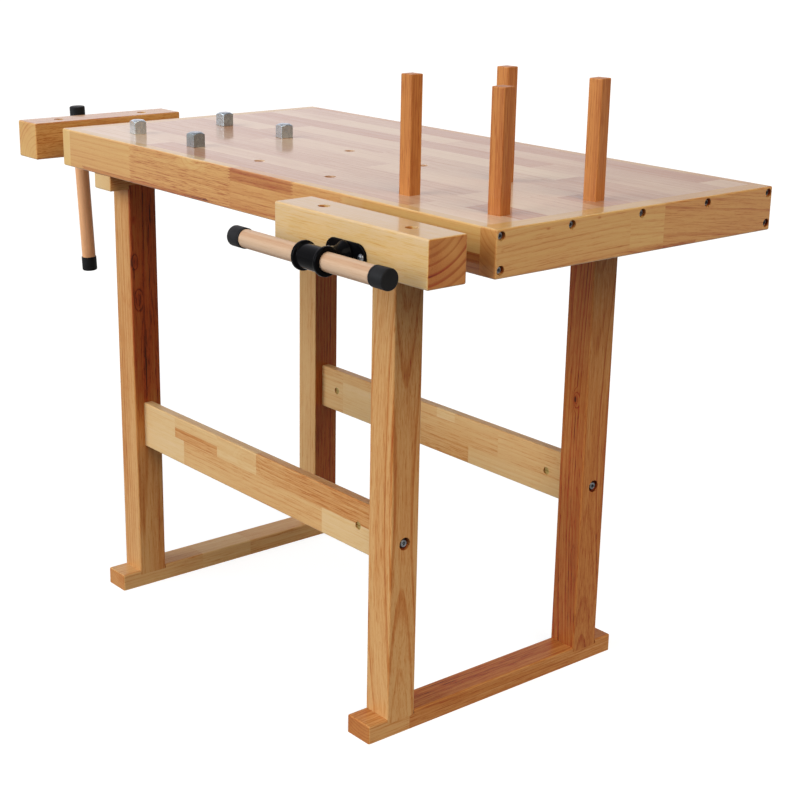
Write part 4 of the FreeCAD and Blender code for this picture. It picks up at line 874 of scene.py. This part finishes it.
HANDLE_BOARDS = {
    "front_handle": Board("x", 0.34, seed=24.0, pith=(0.0, 0.05, 0.05), ring=0.006, rings=0.08,
                          streaks=0.24, dashes=0.08, end=0.0),
    "end_handle": Board("z", 0.34, seed=25.0, pith=(0.0, 0.05, 0.05), ring=0.006, rings=0.08,
                        streaks=0.24, dashes=0.10, end=0.0),
}


# ---- metal, rubber and plastic ------------------------------------------------------------------
def plated_material(name, clean, stain, roughness, patch=90.0):
    """Metal with cloudy patches and fine scratches in its plating. Patch is their number in a metre."""
    material, tree, shader = new_material(name)
    point = put(tree, "ShaderNodeTexCoord")["Object"]
    cloud = noise(point, (patch,) * 3, detail=3.0)["Fac"]
    fine = noise(point, (patch * 14,) * 3)["Fac"]
    dull = stretch(fine * 0.3 + cloud, 0.45, 0.85)
    join_inputs(tree, shader, {
        "Base Color": ramp(dull, [(0.0, clean), (1.0, stain)]),
        "Roughness": dull * 0.14 + roughness,
        "Metallic": 1.0,
        "Normal": bump(fine, 0.08, 0.1 * MM),
    })
    return material


def coated_material(name, tint, roughness, grain, relief, specular=0.3, mirror=1.0):
    """Paint, rubber or plastic with a fine surface grain, given by its specks in a metre."""
    material, tree, shader = new_material(name)
    point = put(tree, "ShaderNodeTexCoord")["Object"]
    speckle = noise(point, (grain,) * 3, detail=3.0)["Fac"]
    cloud = noise(point, (grain / 30,) * 3)["Fac"]
    join_inputs(tree, shader, {
        "Base Color": ramp(cloud, [(0.3, tint), (0.75, shaded(tint, 1.6))]),
        "Roughness": speckle * 0.14 + (roughness - 0.07),
        "Specular IOR Level": specular,
        "Specular Tint": (mirror, mirror, mirror, 1.0),
        "Normal": bump(speckle, relief, 0.2 * MM),
    })
    return material


def shaded(tint, level):
    return tuple(channel * level for channel in tint)


def hardware_materials():
    """The shared finishes of everything that isn't wood, by the record's slot names."""
    if not HARDWARE_FINISHES:
        HARDWARE_FINISHES.update(new_hardware_materials())
    return HARDWARE_FINISHES


def new_hardware_materials():
    looks = bpy.context.scene.bench_metal
    return {
        "zinc_steel": plated_material(
            "zinc_steel_finish", looks.zinc, looks.zinc_stain, roughness=0.30),
        "bright_steel": plated_material(
            "bright_steel_finish", looks.steel, shaded(looks.steel, 0.6), roughness=0.22, patch=40.0),
        "brass": plated_material(
            "brass_finish", looks.brass, shaded(looks.brass, 0.6), roughness=0.30),
        "black_cast_iron": coated_material(
            "black_enamel_finish", looks.enamel, roughness=0.11, grain=500.0, relief=0.03,
            specular=0.05, mirror=0.50),
        "black_rubber": coated_material(
            "black_rubber_finish", looks.rubber, roughness=0.50, grain=1400.0, relief=0.25,
            specular=0.10),
        "grey_plastic": coated_material(
            "grey_plastic_finish", looks.plastic, roughness=0.45, grain=1200.0, relief=0.10),
    }


# ---- pieces -------------------------------------------------------------------------------------
def new_object(name, data):
    """An object in the scene that shows a mesh, a lamp or a camera."""
    made = bpy.data.objects.new(name, data)
    bpy.context.scene.collection.objects.link(made)
    return made


def plain_mesh(holder):
    """What an object's modifiers make of its mesh. The object is removed."""
    mesh = bpy.data.meshes.new_from_object(holder.evaluated_get(bpy.context.evaluated_depsgraph_get()))
    bpy.data.objects.remove(holder)
    return mesh


def grown_mesh(tree, settings, source=None):
    """The plain mesh that a node tree makes from its settings, given by the names of its inputs."""
    holder = new_object("maker", source or bpy.data.meshes.new("maker"))
    modifier = holder.modifiers.new("maker", "NODES")
    modifier.node_group = tree
    for item in tree.interface.items_tree:
        if item.item_type == "SOCKET" and item.in_out == "INPUT" and item.name in settings:
            modifier[item.identifier] = settings[item.name]
    return plain_mesh(holder)


def body_of(node):
    """The name of the body that a CAD node belongs to."""
    bodies = frame["record"]["behaviour"]["bodies"]
    return next(body for body, nodes in bodies.items() if node in nodes)


def add_piece(name, mesh, node, finish, sharp=SHARP_ANGLE):
    """Adds a piece that stands for a CAD node and moves with it."""
    mesh.shade_smooth()
    if sharp:
        mesh.set_sharp_from_angle(angle=math.radians(sharp))
    mesh.materials.clear()
    mesh.materials.append(finish)
    piece = new_object(name, mesh)
    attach(piece, body_of(node))
    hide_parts(node)


def welded(node):
    """A CAD node's mesh with its loose triangles joined."""
    solid = bmesh.new()
    solid.from_mesh(frame["nodes"][node].data)
    bmesh.ops.remove_doubles(solid, verts=solid.verts, dist=WELD)
    return solid


def separate_solids(node):
    """The points of every separate solid of a CAD node."""
    solid = welded(node)
    seen, groups = set(), []
    for first in solid.verts:
        if first in seen:
            continue
        seen.add(first)
        waiting, points = [first], []
        while waiting:
            vertex = waiting.pop()
            points.append(vertex.co.copy())
            for edge in vertex.link_edges:
                other = edge.other_vert(vertex)
                if other not in seen:
                    seen.add(other)
                    waiting.append(other)
        groups.append(points)
    solid.free()
    return groups


def box_of(points):
    low = Vector([min(point[i] for point in points) for i in range(3)])
    high = Vector([max(point[i] for point in points) for i in range(3)])
    return low, high


def fastener_places(node, head_height):
    """Where each fastener's head sits and which way it faces, with the shortest shank's length.
    The head is the wider end. Washers among the solids are told by their few points."""
    places, shanks = [], []
    for points in separate_solids(node):
        if len(points) < FEWEST_BOLT_POINTS:
            continue
        low, high = box_of(points)
        size = high - low
        axis = max(range(3), key=lambda i: size[i])
        middle = (low + high) / 2
        wide = {}
        for end in (-1.0, 1.0):
            last = END_SHARE * size[axis]
            at_end = [p - middle for p in points if end * (p[axis] - middle[axis]) > last]
            wide[end] = max(math.hypot(off[axis - 1], off[axis - 2]) for off in at_end)
        facing = Vector((0.0, 0.0, 0.0))
        facing[axis] = max(wide, key=wide.get)
        places.append((middle + facing * (size[axis] / 2 - head_height), facing))
        shanks.append(size[axis] - head_height)
    return places, min(shanks)


def places_mesh(places):
    """A mesh of loose points, each with the way it faces."""
    mesh = bpy.data.meshes.new("places")
    mesh.from_pydata([place for place, facing in places], [], [])
    facings = mesh.attributes.new("facing", "FLOAT_VECTOR", "POINT")
    for item, (place, facing) in zip(facings.data, places):
        item.vector = facing
    return mesh


def cast_mesh(node, cell, rounds):
    """A CAD node's shape with the soft edges and corners of a casting: built up from cells and
    smoothed in rounds."""
    solid = welded(node)
    mesh = bpy.data.meshes.new(node + "_cast")
    solid.to_mesh(mesh)
    solid.free()
    holder = new_object("maker", mesh)
    cells = holder.modifiers.new("cells", "REMESH")
    cells.mode = "VOXEL"
    cells.voxel_size = cell
    soften = holder.modifiers.new("soften", "SMOOTH")
    soften.factor = 0.5
    soften.iterations = rounds
    return plain_mesh(holder)


def turned_mesh(name, profiles, sides=64):
    """Closed shapes turned about their axes: each has a place, a direction and (along, radius) pairs
    that start and end on the axis."""
    solid = bmesh.new()
    for place, direction, pairs in profiles:
        lay = Matrix.Translation(place) @ direction.to_track_quat("Z", "Y").to_matrix().to_4x4()
        rings = []
        for along, radius in pairs:
            count = sides if radius > 0.0 else 1
            angles = [math.tau * i / count for i in range(count)]
            points = [lay @ Vector((radius * math.cos(a), radius * math.sin(a), along)) for a in angles]
            rings.append([solid.verts.new(point) for point in points])
        for lower, upper in zip(rings, rings[1:]):
            for i in range(sides):
                j = (i + 1) % sides
                corners = [lower[i % len(lower)], lower[j % len(lower)]]
                corners += [upper[j % len(upper)], upper[i % len(upper)]]
                solid.faces.new(list(dict.fromkeys(corners)))
    bmesh.ops.recalc_face_normals(solid, faces=solid.faces)
    mesh = bpy.data.meshes.new(name)
    solid.to_mesh(mesh)
    solid.free()
    return mesh


def rounded_corner(radius, size, steps=5):
    """Points of a rounded outer corner, from the face at the start out to a radius."""
    turns = [math.pi / 2 * i / steps for i in range(steps + 1)]
    return [(size * (1 - math.sin(a)), radius - size * (1 - math.cos(a))) for a in reversed(turns)]


# Painted light and shade: how much brighter or darker each dog's copy of one plating is made.
DOG_PAINTED_LIGHT = {
    "dog_front_left": 1.35, "dog_front_right": 0.80, "dog_back_left": 0.95, "dog_back_right": 1.1,
}

# Fasteners by CAD node: kind, the tree that makes it, and its sizes in millimetres.
FASTENERS = (
    ("end_board_bolts", "Cap bolts", cap_bolt_group, {
        "Head Radius": 5.0, "Head Height": 6.0, "Socket": 5.0, "Shank Radius": 3.0,
        "Thread Length": 24.0, "Pitch": 1.0}),
    ("stretcher_bolts", "Cap bolts", cap_bolt_group, {
        "Head Radius": 6.5, "Head Height": 8.0, "Socket": 6.0, "Shank Radius": 4.0,
        "Thread Length": 28.0, "Pitch": 1.25, "Washer Radius": 10.0}),
    ("leg_screws", "Lag screws", lag_screw_group, {
        "Flats": 13.0, "Head Height": 5.5, "Shank Radius": 4.0, "Thread Length": 52.0, "Pitch": 3.0}),
    ("nut_body_screws", "Lag screws", lag_screw_group, {
        "Flats": 10.0, "Head Height": 4.0, "Shank Radius": 3.0, "Thread Length": 12.0, "Pitch": 2.2}),
    ("bracket_screws", "Pan screws", pan_screw_group, {
        "Head Radius": 4.8, "Head Height": 3.216, "Shank Radius": 2.25, "Pitch": 1.8}),
    ("front_plate_screws", "Pan screws", pan_screw_group, {
        "Head Radius": 6.0, "Head Height": 4.02, "Shank Radius": 2.75, "Pitch": 2.2}),
    ("end_plate_screws", "Pan screws", pan_screw_group, {
        "Head Radius": 6.0, "Head Height": 4.02, "Shank Radius": 2.75, "Pitch": 2.2}),
)


# ---- operators ----------------------------------------------------------------------------------
class BENCH_OT_finish_top(bpy.types.Operator):
    """Finish the panel, the aprons and the end boards."""

    bl_idname = "bench.finish_top"
    bl_label = "Top, Aprons and End Boards"

    def execute(self, context):
        finish_boards(TOP_BOARDS)
        return {"FINISHED"}


class BENCH_OT_finish_frames(bpy.types.Operator):
    """Finish the feet, bearers, legs and stretchers."""

    bl_idname = "bench.finish_frames"
    bl_label = "Frames and Stretchers"

    def execute(self, context):
        finish_boards(FRAME_BOARDS)
        return {"FINISHED"}


class BENCH_OT_finish_jaws(bpy.types.Operator):
    """Finish the wooden jaws of both vises."""

    bl_idname = "bench.finish_jaws"
    bl_label = "Vise Jaws"

    def execute(self, context):
        finish_boards(JAW_BOARDS)
        return {"FINISHED"}


class BENCH_OT_finish_pegs(bpy.types.Operator):
    """Finish the four wooden pegs."""

    bl_idname = "bench.finish_pegs"
    bl_label = "Pegs"

    def execute(self, context):
        looks = context.scene.bench_wood
        stops = [(0.0, looks.peg_light), (0.5, looks.peg_light), (1.0, looks.peg_deep)]
        finish_boards(PEG_BOARDS, stops)
        return {"FINISHED"}


class BENCH_OT_finish_handles(bpy.types.Operator):
    """Finish the beech handles of both vises."""

    bl_idname = "bench.finish_handles"
    bl_label = "Vise Handles"

    def execute(self, context):
        looks = context.scene.bench_wood
        # The end handle takes a brighter copy of the beech: painted light on its shaded side.
        for name, light in (("front_handle", looks.beech_light), ("end_handle", looks.beech_warm_painted_light)):
            stops = [(0.0, light), (0.4, light), (1.0, looks.beech_deep)]
            finish_boards({name: HANDLE_BOARDS[name]}, stops)
        return {"FINISHED"}


class BENCH_OT_finish_hardware(bpy.types.Operator):
    """Finish the metal, rubber and plastic pieces."""

    bl_idname = "bench.finish_hardware"
    bl_label = "Metal, Rubber and Plastic"

    def execute(self, context):
        finishes = hardware_materials()
        for name, piece in frame["nodes"].items():
            if cad_slots[name] in finishes:
                piece.material_slots[0].material = finishes[cad_slots[name]]
        return {"FINISHED"}


class BENCH_OT_vise_screws(bpy.types.Operator):
    """Make the threaded screws of both vises."""

    bl_idname = "bench.vise_screws"
    bl_label = "Vise Screws"

    def execute(self, context):
        sizes = context.scene.bench_sizes
        finish = hardware_materials()["bright_steel"]
        for node, towards_bench in (("front_screw", Vector((0, 1, 0))), ("end_screw", Vector((1, 0, 0)))):
            low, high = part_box(node)
            middle = (low + high) / 2
            reach = (high - low).dot(towards_bench)
            mesh = grown_mesh(group_named("Vise screw", vise_screw_group), {
                "Radius": sizes.screw_radius, "Thread Depth": sizes.screw_depth, "Pitch": sizes.screw_pitch,
                "Spigot Radius": sizes.spigot_radius, "Spigot Length": sizes.spigot_length,
                "Length": reach, "Place": middle - towards_bench * (reach / 2),
                "Turn": Vector(towards_bench.to_track_quat("Z", "Y").to_euler()), "Material": finish,
            })
            add_piece(node + "_thread", mesh, node, finish)
        return {"FINISHED"}


class BENCH_OT_fasteners(bpy.types.Operator):
    """Make the bolts, lag screws and wood screws."""

    bl_idname = "bench.fasteners"
    bl_label = "Bolts and Screws"

    def execute(self, context):
        finish = hardware_materials()["zinc_steel"]
        for number, (node, name, make, sizes) in enumerate(FASTENERS):
            places, shank_length = fastener_places(node, sizes["Head Height"] * MM)
            settings = {label: size * MM for label, size in sizes.items()}
            settings.update({"Shank Length": shank_length, "Seed": 11 + number, "Material": finish})
            mesh = grown_mesh(group_named(name, make), settings, places_mesh(places))
            add_piece(node + "_set", mesh, node, finish)
        return {"FINISHED"}


class BENCH_OT_castings(bpy.types.Operator):
    """Make the hubs and plates of the vises, and the metal dogs."""

    bl_idname = "bench.castings"
    bl_label = "Castings and Dogs"

    def execute(self, context):
        sizes = context.scene.bench_sizes
        finishes = hardware_materials()
        for node in ("front_hub", "end_hub", "front_jaw_plate", "end_jaw_plate"):
            mesh = cast_mesh(node, sizes.casting_detail, rounds=4)
            add_piece(node + "_casting", mesh, node, finishes["black_cast_iron"], sharp=None)
        looks = context.scene.bench_metal
        for node, painted_light in DOG_PAINTED_LIGHT.items():
            # Painted light and shade: each dog's plating colours are scaled by its own level.
            clean, stain = shaded(looks.dog_zinc, painted_light), shaded(looks.dog_stain, painted_light)
            finish = plated_material(node + "_finish", clean, stain, roughness=0.20, patch=130.0)
            mesh = cast_mesh(node, sizes.dog_detail, rounds=1)
            add_piece(node + "_casting", mesh, node, finish, sharp=None)
        return {"FINISHED"}


class BENCH_OT_handle_caps(bpy.types.Operator):
    """Make the rubber caps of the handles."""

    bl_idname = "bench.handle_caps"
    bl_label = "Handle Caps"

    def execute(self, context):
        sizes = context.scene.bench_sizes
        finish = hardware_materials()["black_rubber"]
        for node in ("front_handle_caps", "end_handle_caps"):
            middles = [sum(box_of(points), Vector()) / 2 for points in separate_solids(node)]
            towards_second = (middles[1] - middles[0]).normalized()
            profiles = []
            for middle, inward in zip(middles, (towards_second, -towards_second)):
                place = middle - inward * (sizes.cap_length / 2)
                profiles.append((place, inward, self.cap_profile(sizes)))
            add_piece(node + "_moulded", turned_mesh(node, profiles), node, finish)
        return {"FINISHED"}

    def cap_profile(self, sizes):
        """From the dished end, over a rounded shoulder and a shallow groove, to the mouth and the floor."""
        radius, bore, mouth = sizes.cap_radius, sizes.cap_bore, sizes.cap_length
        dish = [(0.5 * MM, 0.0), (0.45 * MM, 5.0 * MM), (0.12 * MM, 9.5 * MM), (0.0, 11.0 * MM)]
        groove = [(mouth - place, radius - depth) for place, depth in (
            (4.4 * MM, 0.0), (4.0 * MM, 0.35 * MM), (3.4 * MM, 0.35 * MM), (3.0 * MM, 0.0))]
        lip = [(mouth - 0.5 * MM, radius), (mouth - 0.15 * MM, radius - 0.15 * MM),
               (mouth, radius - 0.5 * MM)]
        inside = [(mouth, bore + 0.3 * MM), (mouth - 0.3 * MM, bore), (CAP_FLOOR, bore), (CAP_FLOOR, 0.0)]
        return dish + rounded_corner(radius, 2.5 * MM) + groove + lip + inside


CAMERA_PLACE = (2.2692, -1.7001, 1.3308)
CAMERA_HEADING = 50.826      # degrees to the left of straight at the bench's front
CAMERA_DROP = 17.627         # degrees below the horizon
CAMERA_ROLL = 0.7145
CAMERA_LENS = 72.44          # millimetres, as its sensor
CAMERA_SENSOR = 36.0
CAMERA_SHIFT = (0.0468, 0.0077)
WHITE = (1.0, 1.0, 1.0, 1.0)
GLOSS_LEVEL = 1.25       # brightens the whole reflected room


def soft_sun(name, level, tint, angle, heading, height):
    """A distant soft lamp. Heading is counted from the front to the right, in degrees."""
    data = bpy.data.lights.new(name, "SUN")
    data.energy = level
    data.color = tint
    data.angle = math.radians(angle)
    a, e = math.radians(heading), math.radians(height)
    towards_lamp = Vector((math.sin(a) * math.cos(e), -math.cos(a) * math.cos(e), math.sin(e)))
    new_object(name, data).rotation_euler = towards_lamp.to_track_quat("Z", "Y").to_euler()


def seen_directly(tree, mirrored):
    """1 for what the camera or clear material shows, and a given share for what a reflection shows."""
    path = put(tree, "ShaderNodeLightPath")
    shown = path["Is Camera Ray"].math("MAXIMUM", path["Is Transmission Ray"])
    return shown.math("MAXIMUM", path["Is Glossy Ray"] * mirrored)


class BENCH_OT_studio(bpy.types.Operator):
    """Set up the floor, the room, the lamps and the camera."""

    bl_idname = "bench.studio"
    bl_label = "Studio"

    def execute(self, context):
        studio = context.scene.bench_studio
        context.scene.view_settings.view_transform = "Standard"
        self.make_floor(studio)
        self.make_room(studio)
        soft_sun("main_lamp", studio.key_light, studio.key_tint, angle=50.0, heading=-15.0, height=22.0)
        soft_sun("side_lamp", studio.side_light, studio.side_tint, angle=45.0, heading=80.0, height=40.0)
        self.make_camera(context)
        return {"FINISHED"}

    def make_floor(self, studio):
        """A square floor that stays white to the eye and keeps the bench's shadow."""
        half = studio.floor_size / 2
        corners = [(-half, -half, 0.0), (half, -half, 0.0), (half, half, 0.0), (-half, half, 0.0)]
        mesh = bpy.data.meshes.new("floor")
        mesh.from_pydata(corners, [], [(0, 1, 2, 3)])
        material, tree, shader = new_material("pale_floor")
        join_inputs(tree, shader, {
            "Base Color": (*studio.floor_colour, 1.0),
            "Roughness": 1.0,
            "Specular IOR Level": 0.0,
            "Emission Color": WHITE,
            "Emission Strength": seen_directly(tree, studio.floor_mirrored) * studio.floor_glow,
        })
        mesh.materials.append(material)
        new_object("floor", mesh)

    def make_room(self, studio):
        """Even light from all round, shown as plain white."""
        world = bpy.data.worlds.new("white_room")
        bpy.context.scene.world = world
        world.use_nodes = True
        tree = world.node_tree
        tree.nodes.clear()
        direction = put(tree, "ShaderNodeTexCoord")["Generated"]
        middle, right = studio.gloss_middle, studio.gloss_right
        bright = ramp(direction.part("X") * 0.5 + 0.5, [
            (0.08, studio.gloss_left), (0.20, middle), (0.45, middle), (0.62, right)])
        glossy = {"Color": (*studio.gloss_tint, 1.0), "Strength": bright * GLOSS_LEVEL}
        even = put(tree, "ShaderNodeBackground", {"Color": WHITE, "Strength": studio.room_light})[0]
        shown = put(tree, "ShaderNodeBackground", {"Color": WHITE, "Strength": 1.0})[0]
        mirrored = put(tree, "ShaderNodeBackground", glossy)[0]
        path = put(tree, "ShaderNodeLightPath")
        shader = even
        for ray, seen in (("Glossy", mirrored), ("Transmission", shown), ("Camera", shown)):
            inputs = {0: path["Is " + ray + " Ray"], 1: shader, 2: seen}
            shader = put(tree, "ShaderNodeMixShader", inputs)[0]
        put(tree, "ShaderNodeOutputWorld", {"Surface": shader})

    def make_camera(self, context):
        data = bpy.data.cameras.new("camera")
        data.sensor_width = CAMERA_SENSOR
        data.lens = CAMERA_LENS
        data.shift_x, data.shift_y = CAMERA_SHIFT
        camera = new_object("camera", data)
        heading = Matrix.Rotation(math.radians(CAMERA_HEADING), 4, "Z")
        tip = Matrix.Rotation(math.radians(90.0 - CAMERA_DROP), 4, "X")
        roll = Matrix.Rotation(math.radians(CAMERA_ROLL), 4, "Z")
        camera.matrix_world = Matrix.Translation(CAMERA_PLACE) @ heading @ tip @ roll
        context.scene.camera = camera


OPERATORS = (
    BENCH_OT_finish_top,
    BENCH_OT_finish_frames,
    BENCH_OT_finish_jaws,
    BENCH_OT_finish_pegs,
    BENCH_OT_finish_handles,
    BENCH_OT_finish_hardware,
    BENCH_OT_vise_screws,
    BENCH_OT_fasteners,
    BENCH_OT_castings,
    BENCH_OT_handle_caps,
    BENCH_OT_studio,
)


class BENCH_PT_panel(bpy.types.Panel):
    """Lists what makes the bench, with its sizes and colours."""

    bl_label = "Woodworking Bench"
    bl_idname = "BENCH_PT_panel"
    bl_space_type = "VIEW_3D"
    bl_region_type = "UI"
    bl_category = "Bench"

    def draw(self, context):
        for operator in OPERATORS:
            self.layout.operator(operator.bl_idname)
        for name, group in SETTINGS.items():
            for setting in group.__annotations__:
                self.layout.prop(getattr(context.scene, name), setting)


SETTINGS = {
    "bench_wood": BenchWoodLooks,
    "bench_metal": BenchMetalLooks,
    "bench_sizes": BenchHardwareSizes,
    "bench_studio": BenchStudio,
}
CLASSES = (*SETTINGS.values(), *OPERATORS, BENCH_PT_panel)


def register():
    for item in CLASSES:
        bpy.utils.register_class(item)
    for name, group in SETTINGS.items():
        setattr(bpy.types.Scene, name, bpy.props.PointerProperty(type=group))


def unregister():
    for name in SETTINGS:
        delattr(bpy.types.Scene, name)
    for item in reversed(CLASSES):
        bpy.utils.unregister_class(item)


def main():
    register()
    bpy.ops.bench.finish_top()
    bpy.ops.bench.finish_frames()
    bpy.ops.bench.finish_jaws()
    bpy.ops.bench.finish_pegs()
    bpy.ops.bench.finish_handles()
    bpy.ops.bench.finish_hardware()
    bpy.ops.bench.vise_screws()
    bpy.ops.bench.fasteners()
    bpy.ops.bench.castings()
    bpy.ops.bench.handle_caps()
    bpy.ops.bench.studio()


if __name__ == "__main__":
    main()
